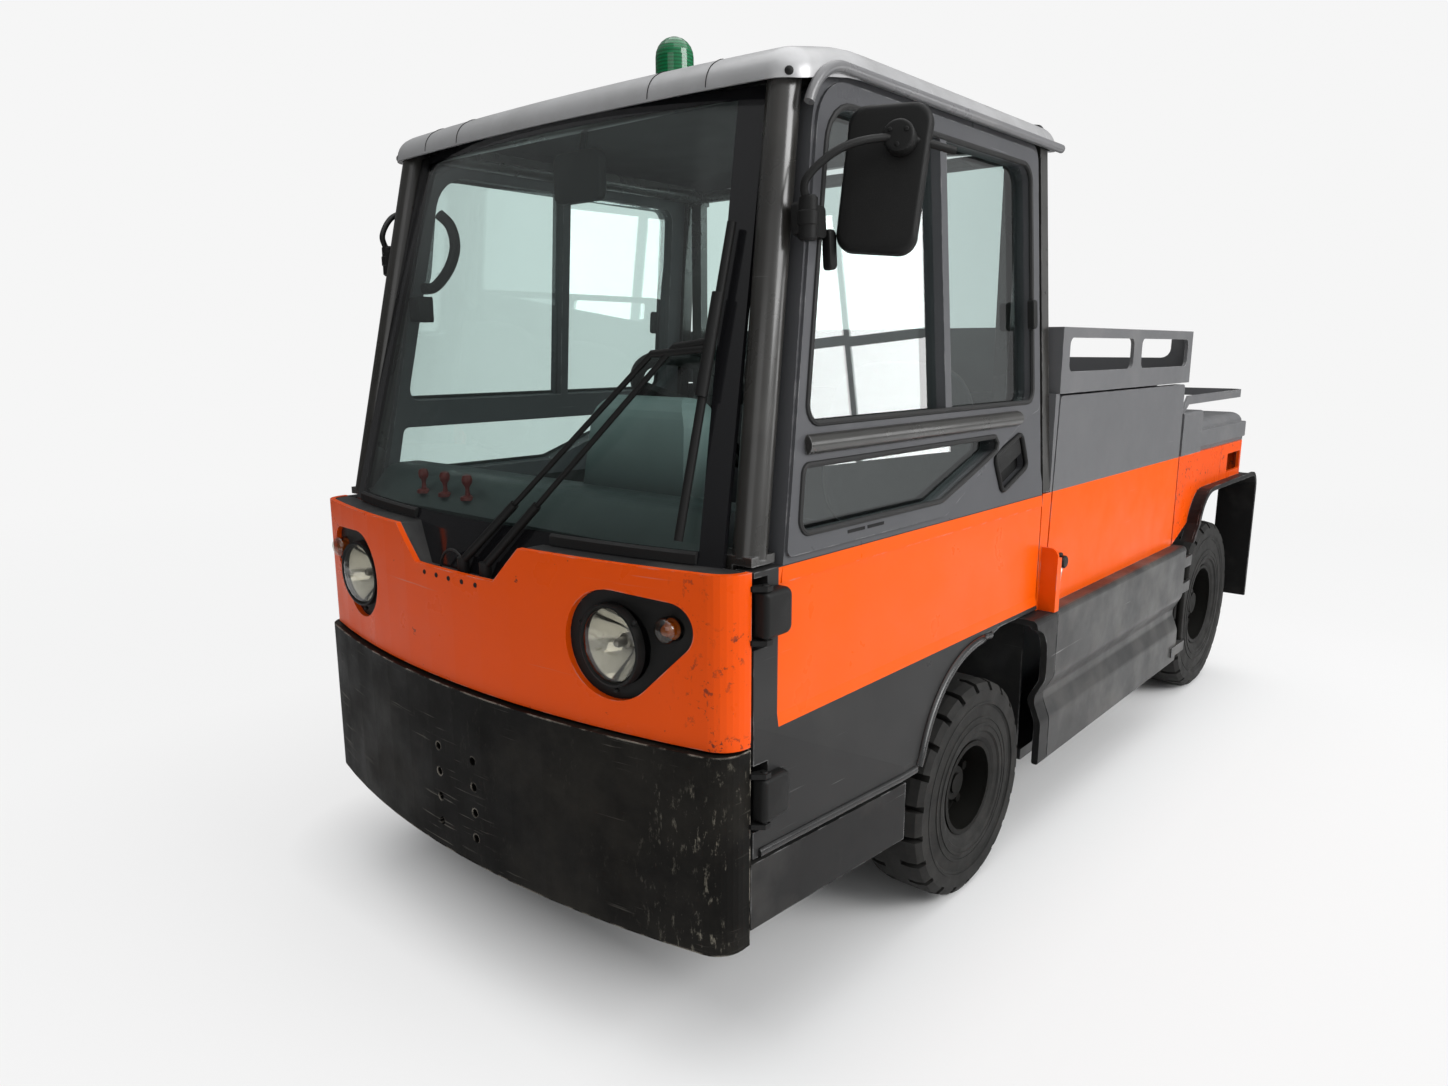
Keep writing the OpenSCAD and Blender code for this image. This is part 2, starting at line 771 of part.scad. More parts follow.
// Hinge covers with the moving knuckle of each hinge
module door_hinges() {
    color("black")
        for (z = hinge_zs)
            difference() {
                union() {
                    translate([door_pin_x, door_pin_y, z - 36])
                        cylinder(h = 72, d = 26);
                    translate([0, 0, z - 36])
                        linear_extrude(72)
                            polygon([[hw, door_pin_y + 22], [door_pin_x - 10, door_pin_y + 6],
                                [door_pin_x + 13, door_pin_y],
                                [hw + 24, hinge_cover_r - 18], [hw + 12, hinge_cover_r],
                                [hw, hinge_cover_r]]);
                }
                translate([door_pin_x, door_pin_y, z - 37])
                    cylinder(h = 74, d = 14 + 2 * run);
            }
}

module mirror_unit() {
    base = 573;
    clamp = [hw - 12, edge_y(base) - 32, belt_z + base];
    path = [clamp + [0, 0, 20], clamp + [7, -12, 65], clamp + [42, 43, 113], clamp + [92, 128, 132],
        clamp + [147, 217, 117]];
    head = clamp + [57, 136, 73];
    color("black") {
        lean_plate(6.2, 22)
            polygon(rounded(clamp[1] - 14, base - 27, clamp[1] + 66, base + 27, 8));
        translate(clamp - [0, 0, 34])
            cylinder(h = 68, d = 32);
        for (i = [0:len(path) - 2])
            rod(path[i], path[i + 1], 14);
        for (i = [1, 2])
            translate(path[i])
                sphere(d = 17);
        translate(path[3])
            rotate([90, 0, 20])
                cylinder(h = 30, d = 54, center = true);
        translate(head)
            rotate([-8, 0, 20])
                front_plate(-10, 14)
                    polygon(fillet([[-78, -120], [60, -132], [82, 122], [-64, 124]],
                        [30, 30, 34, 34], 6));
    }
}

module door_left() {
    door_shell();
}

module door_left_glass() {
    door_glass();
}

module door_left_fittings() {
    door_fittings();
}

module door_left_hinges() {
    door_hinges();
}

module mirror_left() {
    mirror_unit();
}

module door_right() {
    mirror([1, 0, 0])
        door_shell();
}

module door_right_glass() {
    mirror([1, 0, 0])
        door_glass();
}

module door_right_fittings() {
    mirror([1, 0, 0])
        door_fittings();
}

module door_right_hinges() {
    mirror([1, 0, 0])
        door_hinges();
}

module mirror_right() {
    mirror([1, 0, 0])
        mirror_unit();
}

// Pins and fixed leaves of the cab door hinges
module hinge_pins() {
    color("black")
        both()
            for (z = hinge_zs) {
                translate([door_pin_x, door_pin_y, z - 58])
                    cylinder(h = 116, d = 14);
                for (k = [z - 56, z + 42])
                    translate([0, 0, k])
                        linear_extrude(14)
                            polygon([[hw, door_f - gap - 16], [hw + 5, door_f - gap - 16],
                                [door_pin_x + 12, door_pin_y - 8],
                                [door_pin_x + 12, door_pin_y + 10], [door_pin_x - 10, door_pin_y + 10],
                                [door_pin_x - 12, door_f - gap], [hw, door_f - gap]]);
            }
}

// Sill under the door, lip over the wheel and plate behind it
module sills() {
    sill_r = faxle_y - arch_r - 10;
    plate_f = faxle_y + 296;
    color("dimgray")
        both() {
            translate([0, 0, step_z])
                linear_extrude(door_z - 8 - step_z)
                    polygon(concat([[tub_w, door_f - gap]], flare_line(2), [[tub_w, sill_r]]));
            intersection() {
                front_plate(faxle_y, box_f - 4)
                    polygon(skirt_section(hw - door_t));
                side_plate(hw - door_t - 1, sw + 1)
                    polygon(concat([[plate_f, sill_z - 1], [box_f - 4, sill_z - 1],
                        [box_f - 4, ledge_z + 1],
                        [faxle_y + 215, ledge_z + 1]], arc([faxle_y + 216, ledge_z - 106], 80, 80, 0,
                        6)));
            }
        }
}

// Section of the lower skirt: ledge, upright face, groove and lower face, folded from plate
groove_z = ledge_z - 235;
function skirt_section(x0) = fillet(
    [[x0, ledge_z - 18], [x0, ledge_z], [sw, ledge_z], [sw, groove_z + 60], [sw - 26, groove_z + 10],
        [sw - 26, groove_z - 10], [sw - 6, groove_z - 60], [sw - 6, sill_z], [sw - 24, sill_z],
        [sw - 24, groove_z - 56], [sw - 44, groove_z - 8], [sw - 44, groove_z + 8],
        [sw - 18, groove_z + 56],
        [sw - 18, ledge_z - 18]],
    [0, 0, 14, 40, 30, 30, 40, 6, 6, 30, 30, 30, 30, 6], 4);

// Side doors over the battery
module gate() {
    lug_zs = [ledge_z - 76, ledge_z - 166, sill_z + 26];
    lug_h = 34;
    color("dimgray")
        difference() {
            union() {
                front_plate(box_f, box_r + 20)
                    polygon(skirt_section(hw - 30));
                for (z = lug_zs)
                    translate([0, 0, z])
                        linear_extrude(lug_h)
                            polygon(concat([[sw - 40, box_r - 40], [sw, box_r - 40]],
                                arc([gate_pin_x, gate_pin_y], 22, 0, 180, 8)));
            }
            translate([gate_pin_x, gate_pin_y, sill_z])
                cylinder(h = ledge_z - sill_z + 10, d = pin_d + 2 * run);
        }
}

module side_panel() {
    lock_y = box_f + 62;
    lock_z = ledge_z + 92;
    color("darkorange")
        union() {
            side_plate(hw - 30, hw)
                polygon(fillet([[box_f + 4, ledge_z], [box_r - gap, ledge_z], [box_r - gap, box_z - gap],
                    [box_f + 4 + seam_lean, box_z - gap]], [0, 0, 14, 14], 4));
            // Turn lock and its lever
            translate([hw - 5, lock_y, lock_z])
                rotate([0, 90, 0])
                    cylinder(h = 17, d = 58);
            side_plate(hw + 11, hw + 20)
                polygon(rounded(lock_y - 30, lock_z - 46, lock_y - 2, lock_z + 34, 6));
        }
}

module gate_left() {
    gate();
}

module side_panel_left() {
    side_panel();
}

module gate_right() {
    mirror([1, 0, 0])
        gate();
}

module side_panel_right() {
    mirror([1, 0, 0])
        side_panel();
}

module gate_hinges() {
    lug_h = 34;
    eye_z = ledge_z - 166 + lug_h + gap;
    eye_top = ledge_z - 76 - gap;
    color("dimgray")
        both() {
            translate([gate_pin_x, gate_pin_y, sill_z + 20])
                cylinder(h = ledge_z - sill_z - 50, d = pin_d);
            translate([0, 0, eye_z])
                linear_extrude(eye_top - eye_z)
                    polygon(concat([[tub_w - 130, gate_pin_y + 20], [tub_w - 130, box_r + 5],
                        [tub_w - 106, box_r + 5],
                        [tub_w - 106, gate_pin_y - 18]], arc([gate_pin_x, gate_pin_y], 20, -90, 90, 8)));
        }
}

module battery() {
    color("gray")
        block(-430, 430, box_f + 30, box_r - 40, sill_z + 10, box_z - 170);
}

module tray() {
    wall = 10;
    tray_f = box_f + 14;
    tray_r = box_r + 18;
    slot_z = [box_z + 54, box_z + tray_h - 26];
    color("dimgray")
        difference() {
            block(-hw - 4, hw + 4, tray_f, tray_r, box_z, box_z + tray_h);
            block(-hw + wall - 4, hw - wall + 4, tray_f + wall, tray_r - wall, box_z + 12,
                box_z + tray_h + 1);
            // Grip slots in both side walls
            for (span = [[tray_f + 46, tray_f + 516], [tray_f + 584, tray_r - 46]])
                side_plate(-hw - 6, hw + 6)
                    polygon(rounded(span[0], slot_z[0], span[1], slot_z[1], 20));
            // Rear wall, low in the middle
            front_plate(tray_r - wall - 1, tray_r + 1)
                polygon(fillet([[-hw + 60, box_z + 80], [hw - 60, box_z + 80],
                    [hw - 60, box_z + tray_h + 60],
                    [-hw + 60, box_z + tray_h + 60]], [30, 30, 0, 0], 4));
        }
}

// Rear wheel arch: sloping front, flat top and upright rear
arch_top = raxle_z + 480;
arch_front = raxle_y - 426;
arch_rear = raxle_y + 372;
function arch_end(t) = arc([arch_rear - 60, arch_top - 60], 60 + t, 90, 0, 6);
function rear_arch(t) = concat(
    [[arch_front - t, ledge_z]],
    arc([arch_front + 190, arch_top - 140], 140 + t, 165, 90, 8), arch_end(t));

// Rear body: orange side skins cut by the wheel arch, closed round the rear corners
module rear_body() {
    edge_r = 44;
    hole_y = [raxle_y + 80, raxle_y + 257];
    hole_zs = [arch_top + 34, arch_top + 104];
    seam_y = raxle_y - 14;
    panel_x = rwheel_x - rtyre_w / 2 - 20;
    color("darkorange")
        union() {
            intersection() {
                translate([0, 0, ledge_z])
                    linear_extrude(belt_z - ledge_z)
                        difference() {
                            polygon(fillet([[-hw, box_r + 5], [hw, box_r + 5], [hw, body_r],
                                [-hw, body_r]],
                                [0, 0, edge_r, edge_r], 6));
                            polygon(fillet([[-hw + skin, box_r], [hw - skin, box_r],
                                [hw - skin, body_r - skin],
                                [-hw + skin, body_r - skin]], [0, 0, edge_r - skin, edge_r - skin], 6));
                        }
                difference() {
                    side_plate(-hw - 1, hw + 1)
                        polygon(concat([[body_r + 1, belt_z + 1], [box_r, belt_z + 1], [box_r, ledge_z]],
                            [for (q = rear_arch(10)) if (q[1] > arch_top - 120 && q[0] < raxle_y) q],
                            [[body_r + 1, arch_top + 10]]));
                    side_plate(-hw - 1, hw + 1)
                        polygon(rounded(hole_y[0], hole_zs[0], hole_y[1], hole_zs[1], 6));
                    both()
                        block(hw - 4, hw + 1, seam_y - 2, seam_y + 2, arch_top, belt_z + 1);
                }
            }
            block(-panel_x, panel_x, body_r - skin, body_r, raxle_z + 150, arch_top + 12);
        }
}

// Deck over the drive: a box behind the tray, then a rounded hood with a lip along its sides
module rear_deck() {
    step_y = box_r + 238;
    box_top = deck_z + 36;
    lip_z = [belt_z + 14, belt_z + 74];
    inset = 16;
    edge_r = 38;
    hood = [[hw - 8, belt_z], [hw - 8, lip_z[0]], [hw, lip_z[0]], [hw, lip_z[1]], [hw - inset, lip_z[1]],
        [hw - inset, deck_z]];
    color("dimgray")
        difference() {
            union() {
                front_plate(box_r + 20, step_y)
                    polygon(fillet([[-hw, belt_z], [hw, belt_z], [hw, box_top], [-hw, box_top]],
                        [0, 0, 10, 10], 4));
                intersection() {
                    front_plate(step_y - 1, body_r - 6)
                        polygon(fillet(concat(back(flip(hood)), hood),
                            [edge_r, 0, 4, 4, 0, 0, 0, 0, 4, 4, 0, edge_r], 5));
                    side_plate(-hw, hw)
                        polygon(fillet([[step_y - 1, belt_z - 1], [body_r - 6, belt_z - 1],
                            [body_r - 6, deck_z],
                            [step_y - 1, deck_z]], [0, 0, 46, 0], 6));
                }
            }
            block(-hw + 40, hw - 40, box_r + 40, body_r - 60, belt_z - 1, deck_z - 24);
        }
}

// Flat-bar rail round the deck, on two bent feet
module rear_rail() {
    bar_h = 30;
    bar_t = 8;
    rail_z = deck_z + 90;
    rail_x = hw - 14;
    foot_y = box_r + 34;
    foot_z = deck_z + 36;
    bend_y = box_r + 96;
    corner = 60;
    color("dimgray")
        union() {
            both()
                side_plate(rail_x - bar_t, rail_x)
                    polygon([[foot_y, foot_z], [foot_y + 34, foot_z], [bend_y + 12, rail_z - bar_h],
                        [bend_y + 30, rail_z - bar_h],
                        [bend_y + 30, rail_z], [bend_y, rail_z]]);
            translate([0, 0, rail_z - bar_h])
                linear_extrude(bar_h)
                    difference() {
                        polygon(fillet([[-rail_x, bend_y + 20], [rail_x, bend_y + 20],
                            [rail_x, body_r - 20],
                            [-rail_x, body_r - 20]], [0, 0, corner, corner], 6));
                        polygon(fillet([[-rail_x + bar_t, bend_y], [rail_x - bar_t, bend_y],
                            [rail_x - bar_t, body_r - 20 - bar_t],
                            [-rail_x + bar_t, body_r - 20 - bar_t]],
                            [0, 0, corner - bar_t, corner - bar_t], 6));
                    }
        }
}

module tail_lamps() {
    r = tail_d / 2;
    color("red")
        both()
            translate([hw - 120, body_r, belt_z - 80])
                rotate([-90, 0, 0])
                    rotate_extrude()
                        polygon(concat([[0, 0], [r, 0], [r, 12]], [for (i = [1:5]) [r * cos(18 * i),
                            12 + 12 * sin(18 * i)]]));
}

// Wide bent fenders with a raised outer lip, and the splash plate behind each wheel
module rear_fenders() {
    t = 10;
    lip_w = 8;
    lip_t = 16;
    foot_z = 300;
    splash_x = rwheel_x + 20;
    splash_f = body_r + 3;
    color("black")
        both()
            union() {
                side_plate(hw, sw - lip_w)
                    polygon(concat(rear_arch(t), [[arch_rear + t, foot_z],
                        [arch_rear, foot_z]], back(rear_arch(0))));
                side_plate(sw - lip_w, sw)
                    polygon(concat(rear_arch(lip_t), [[arch_rear + lip_t, foot_z], [arch_rear, foot_z]],
                        back(rear_arch(0))));
                side_plate(splash_x, hw)
                    polygon(concat([[splash_f, arch_top], [splash_f, arch_top + t]],
                        [for (q = arch_end(t)) if (q[0] > splash_f + 5) q], [[arch_rear + t, foot_z],
                        [arch_rear, foot_z]],
                        [for (q = back(arch_end(0))) if (q[0] > splash_f + 5) q]));
            }
}

module tow_jaw() {
    plate = 22;
    jaw_w = 70;
    pin_y = body_r + tow_pin_back;
    nose_r = 40;
    color("black")
        difference() {
            union() {
                block(-120, 120, body_r, body_r + 14, tow_z - 40, tow_z + tow_mouth + 2 * plate + 40);
                for (z = [tow_z, tow_z + tow_mouth + plate])
                    translate([0, 0, z])
                        linear_extrude(plate)
                            polygon(fillet([[-jaw_w, body_r + 13], [jaw_w, body_r + 13],
                                [jaw_w, body_r + tow_reach],
                                [-jaw_w, body_r + tow_reach]], [0, 0, nose_r, nose_r], 6));
            }
            translate([0, pin_y, tow_z - 1])
                cylinder(h = tow_mouth + 2 * plate + 2, d = tow_pin_d + 2 * run);
        }
}

module tow_pin() {
    plate = 22;
    reach = tow_mouth + 2 * plate;
    color("silver")
        translate([0, body_r + tow_pin_back, tow_z])
            rotate_extrude()
                polygon([[0, 0], [tow_pin_d / 2 - 4, 0], [tow_pin_d / 2, 6], [tow_pin_d / 2, reach + 0.3],
                    [tow_pin_d / 2 + 9, reach + 0.3], [tow_pin_d / 2 + 9, reach + 18],
                    [tow_pin_d / 2 + 4, reach + 24],
                    [0, reach + 24]]);
}

module dashboard() {
    hood_x = seat_x - 30;
    hood_w = 150;
    hood_f = door_f + 118;
    hood_top = belt_z + 276;
    color("black")
        union() {
            side_plate(-tub_w + 52, tub_w - 52)
                polygon(fillet([[door_f - gap, belt_z - 260], [door_f + 190, belt_z - 190],
                    [door_f + 236, belt_z + 20],
                    [door_f + 150, belt_z + 84], [door_f + 62, belt_z + 84], [door_f - gap, belt_z + 10]],
                    [0, 40, 40, 46, 50, 0], 6));
            // Instrument hood in front of the steering wheel
            intersection() {
                front_plate(hood_f, door_f + 250)
                    polygon(fillet([[hood_x - hood_w, belt_z], [hood_x + hood_w, belt_z],
                        [hood_x + hood_w - 24, hood_top],
                        [hood_x - hood_w + 24, hood_top]], [0, 0, 70, 70], 6));
                side_plate(-hw, hw)
                    polygon(fillet([[hood_f, belt_z], [door_f + 250, belt_z],
                        [door_f + 236, hood_top - 16],
                        [hood_f + 34, hood_top]], [0, 0, 22, 46], 5));
            }
            // Steering column
            rod([seat_x, door_f + 190, belt_z + 50], [seat_x, door_f + 330, belt_z + 210], 60);
        }
}

module steering_wheel() {
    lean = atan(130 / 150);
    color("black")
        translate([seat_x, door_f + 330, belt_z + 210])
            rotate([-lean, 0, 0])
                translate([0, 0, run]) {
                    cylinder(h = 40, d = 80);
                    translate([0, 0, 20])
                        rotate_extrude()
                            translate([swheel_d / 2 - 15, 0])
                                circle(d = 30);
                    for (a = [90, 210, 330])
                        rotate([0, 0, a])
                            translate([0, -15, 12])
                                cube([swheel_d / 2 - 20, 30, 14]);
                }
}

// Seat cushions and backs, side profile swept across the seat
module seats() {
    back_f = box_f - 190;
    cushion_f = box_f - 660;
    shelf_z = seat_deck_z + 110;
    cushion = [[cushion_f, seat_deck_z], [box_f - 46, seat_deck_z], [box_f - 46, shelf_z],
        [back_f, shelf_z],
        [cushion_f, shelf_z + 30]];
    rest = [[back_f + 20, shelf_z + 0.3], [box_f - 46, shelf_z + 0.3], [box_f - 46, seat_deck_z + 600],
        [back_f + 84, seat_deck_z + 600]];
    color("black")
        both()
            for (part = [cushion, rest])
                side_plate(seat_x - seat_w / 2, seat_x + seat_w / 2)
                    polygon(fillet(part, part == cushion ? [12, 12, 0, 0, 50] : [30, 12, 26, 30], 5));
}

// Axles and wheels
module front_axle() {
    color("dimgray")
        difference() {
            union() {
                block(-kingpin_x, kingpin_x, faxle_y - 40, faxle_y + 40, faxle_z - 45, faxle_z + 45);
                for (s = [-1, 1])
                    translate([s * kingpin_x, faxle_y, faxle_z - 45])
                        cylinder(h = 90, d = 80);
                for (s = [-1, 1])
                    block(s * (kingpin_x - 195) - 35, s * (kingpin_x - 195) + 35, faxle_y - 40,
                        faxle_y + 40, faxle_z, faxle_z + 60);
            }
            for (s = [-1, 1])
                translate([s * kingpin_x, faxle_y, faxle_z - 46])
                    cylinder(h = 92, d = kingpin_d + 2 * run);
        }
}

module knuckle() {
    color("dimgray")
        translate([kingpin_x, faxle_y, faxle_z])
            union() {
                translate([0, 0, -75])
                    cylinder(h = 150, d = kingpin_d);
                for (z = [-75, 51]) {
                    translate([0, 0, z])
                        cylinder(h = 24, d = 70);
                    translate([0, -30, z])
                        cube([70, 60, 24]);
                }
                translate([50, -40, -75])
                    cube([20, 80, 150]);
                translate([60, 0, 0])
                    rotate([0, 90, 0])
                        cylinder(h = kingpin_in + 20, d = fspindle_d);
            }
}

module knuckle_left() {
    knuckle();
}

module knuckle_right() {
    mirror([1, 0, 0])
        knuckle();
}

module rear_axle() {
    half = rwheel_x - rtyre_w / 2 + 30;
    color("dimgray")
        translate([0, raxle_y, raxle_z]) {
            rotate([0, 90, 0])
                cylinder(h = 2 * half, d = 120, center = true);
            rotate([0, 90, 0])
                cylinder(h = 220, d = 290, center = true);
            rotate([0, 90, 0])
                cylinder(h = 2 * (rwheel_x + 60), d = rhub_d - 30, center = true);
            for (s = [-1, 1])
                translate([s * 300 - 30, -50, 0])
                    cube([60, 100, 110]);
        }
}

// Wheels turn about X; the profile is half width against radius
module wheel_at(x, y, z, side) {
    translate([x, y, z])
        rotate([0, side * 90, 0])
            children();
}

function tyre_profile(d, w, rim) = let (r = d / 2, q = rim / 2) concat(
    [[q, -w * 0.40], [q + 12, -w * 0.45], [q + 24, -w * 0.47], [q + 28, -w * 0.5], [q + 40, -w * 0.5],
        [r - 62, -w * 0.47], [r - 52, -w * 0.5], [r - 20, -w * 0.5], [r - 5, -w * 0.44], [r, -w * 0.3]],
    [[r, w * 0.3], [r - 5, w * 0.44], [r - 20, w * 0.5], [r - 52, w * 0.5], [r - 62, w * 0.47],
        [q + 40, w * 0.5], [q + 28, w * 0.5], [q + 24, w * 0.47], [q + 12, w * 0.45], [q, w * 0.40]]);

// Solid tyre with shoulder blocks: grooves cut from both shoulders, staggered by half a pitch
module tyre(d, w, rim, blocks) {
    groove = 15;
    depth = 24;
    color("black")
        difference() {
            rotate_extrude($fn = 72)
                polygon(tyre_profile(d, w, rim));
            for (i = [0:blocks - 1], s = [0, 1])
                rotate([0, 0, (i + s / 2) * 360 / blocks])
                    translate([d / 2 - depth, -groove / 2, s == 0 ? w * 0.16 : -w * 0.16 - w])
                        cube([depth + 20, groove, w]);
        }
}

// Dished rim: bead seats, disc at the given height, hub and wheel nuts
module rim(rim_d, w, bore, disc, nuts, nut_pcd) {
    q = rim_d / 2;
    hub = bore / 2 + 16;
    edge = w * 0.43;
    bead = w * 0.36;
    color("dimgray")
        union() {
            rotate_extrude($fn = 64)
                polygon([[bore / 2, disc - 22], [bore / 2, disc + 26], [hub, disc + 26], [hub + 4, disc],
                    [q - 16, disc - 4], [q - 12, bead], [q - 12, edge], [q, edge], [q, -edge], [q - 12, -edge],
                    [q - 12, -bead], [q - 16, disc - 14], [hub + 4, disc - 14], [hub, disc - 22]]);
            for (i = [0:nuts - 1])
                rotate([0, 0, (i + 0.5) * 360 / nuts])
                    translate([nut_pcd / 2, 0, disc - 6])
                        cylinder(h = 22, d = 24, $fn = 6);
        }
}

module front_rim_left() {
    wheel_at(fwheel_x, faxle_y, faxle_z, 1)
        rim(frim_d, ftyre_w, fspindle_d + 2 * run, 4, 5, 140);
}

module front_tyre_left() {
    wheel_at(fwheel_x, faxle_y, faxle_z, 1)
        tyre(ftyre_d, ftyre_w, frim_d, 22);
}

module front_rim_right() {
    wheel_at(-fwheel_x, faxle_y, faxle_z, -1)
        rim(frim_d, ftyre_w, fspindle_d + 2 * run, 4, 5, 140);
}

module front_tyre_right() {
    wheel_at(-fwheel_x, faxle_y, faxle_z, -1)
        tyre(ftyre_d, ftyre_w, frim_d, 22);
}

module rear_rim_left() {
    wheel_at(rwheel_x, raxle_y, raxle_z, 1)
        rim(rrim_d, rtyre_w, rhub_d - 30 + 2 * run, 22, 6, 205);
}

module rear_tyre_left() {
    wheel_at(rwheel_x, raxle_y, raxle_z, 1)
        tyre(rtyre_d, rtyre_w, rrim_d, 24);
}

module rear_rim_right() {
    wheel_at(-rwheel_x, raxle_y, raxle_z, -1)
        rim(rrim_d, rtyre_w, rhub_d - 30 + 2 * run, 22, 6, 205);
}

module rear_tyre_right() {
    wheel_at(-rwheel_x, raxle_y, raxle_z, -1)
        tyre(rtyre_d, rtyre_w, rrim_d, 24);
}

front_frame();
battery_bay();
rear_frame();
cab_tub();
front_bumper();
nose_panel();
lamp_bezels();
headlamps();
indicators();
cowl();
windscreen();
wipers();
cab_frame();
roof();
beacon_base();
beacon_lens();
rear_window();
post_strips();
door_left();
door_left_glass();
door_left_fittings();
door_left_hinges();
mirror_left();
door_right();
door_right_glass();
door_right_fittings();
door_right_hinges();
mirror_right();
hinge_pins();
sills();
gate_left();
side_panel_left();
gate_right();
side_panel_right();
gate_hinges();
battery();
tray();
rear_body();
rear_deck();
rear_rail();
tail_lamps();
rear_fenders();
tow_jaw();
tow_pin();
dashboard();
steering_wheel();
seats();
front_axle();
knuckle_left();
knuckle_right();
rear_axle();
front_rim_left();
front_tyre_left();
front_rim_right();
front_tyre_right();
rear_rim_left();
rear_tyre_left();
rear_rim_right();
rear_tyre_right();
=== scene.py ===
import math

import bmesh
import bpy
from mathutils import Matrix, Vector
from mathutils.bvhtree import BVHTree


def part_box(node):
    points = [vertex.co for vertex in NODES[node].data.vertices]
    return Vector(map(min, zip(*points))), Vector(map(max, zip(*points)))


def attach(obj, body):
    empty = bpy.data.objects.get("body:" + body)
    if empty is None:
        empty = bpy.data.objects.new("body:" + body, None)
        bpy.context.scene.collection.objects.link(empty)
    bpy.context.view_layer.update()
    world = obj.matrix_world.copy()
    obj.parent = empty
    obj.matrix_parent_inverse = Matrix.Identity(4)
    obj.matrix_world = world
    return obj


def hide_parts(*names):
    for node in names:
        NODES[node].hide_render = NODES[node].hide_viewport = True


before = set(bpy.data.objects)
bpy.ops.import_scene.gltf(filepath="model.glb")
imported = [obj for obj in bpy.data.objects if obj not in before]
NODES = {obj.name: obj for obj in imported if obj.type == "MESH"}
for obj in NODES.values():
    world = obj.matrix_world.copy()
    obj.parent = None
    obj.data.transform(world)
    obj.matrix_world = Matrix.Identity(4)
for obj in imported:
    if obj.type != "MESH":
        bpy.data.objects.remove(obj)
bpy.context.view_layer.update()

# Driving sizes in metres, read from the frame where it holds them
FRONT_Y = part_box("front_bumper")[0].y
HALF_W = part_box("rear_body")[1].x
BELT_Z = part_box("cowl")[1].z
LEDGE_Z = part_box("post_strips")[0].z
DOOR_LOW, DOOR_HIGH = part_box("door_left")
DOOR_F = DOOR_LOW.y
DOOR_R = DOOR_HIGH.y
DOOR_Z = DOOR_LOW.z
BOX_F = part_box("rear_window")[0].y
ROOF_LOW, ROOF_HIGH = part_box("roof")
F_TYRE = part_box("front_tyre_left")
F_AXLE = (F_TYRE[0] + F_TYRE[1]) / 2
PANEL_PROUD = 0.014
TUMBLE = math.radians(4.2)
TOP_H = 0.842
TOP_LEN = TOP_H / math.cos(TUMBLE)
ARCH_R = 0.372
SIDES = (("left", 1), ("right", -1))
# The camera of the photograph: metres, degrees and millimetres
CAMERA_AT = (1.641, -2.7465, 1.314)
CAMERA_DOWN = 11.39
CAMERA_ROUND = 40.83
CAMERA_LENS = 24.305
SENSOR = 36
# Mesh settings: where rays start, steps of a rounded edge, weld distance and sharp angles
FAR_OUT = 1.5
PAD_STEPS = 5
WELD = 1e-6
PIECE_SHARP = math.radians(38)
NODE_SHARP = math.radians(30)


# Mesh helpers
def piece(name, verts, faces, material, body, smooth=True):
    """A new mesh piece that rides on a body and carries one material."""
    mesh = bpy.data.meshes.new(name)
    mesh.from_pydata([tuple(v) for v in verts], [], faces)
    mesh.materials.append(material)
    clean = bmesh.new()
    clean.from_mesh(mesh)
    bmesh.ops.remove_doubles(clean, verts=clean.verts, dist=WELD)
    bmesh.ops.recalc_face_normals(clean, faces=clean.faces)
    clean.to_mesh(mesh)
    clean.free()
    if smooth:
        mesh.shade_smooth()
        mesh.set_sharp_from_angle(angle=PIECE_SHARP)
    obj = bpy.data.objects.new(name, mesh)
    bpy.context.scene.collection.objects.link(obj)
    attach(obj, body)
    return obj


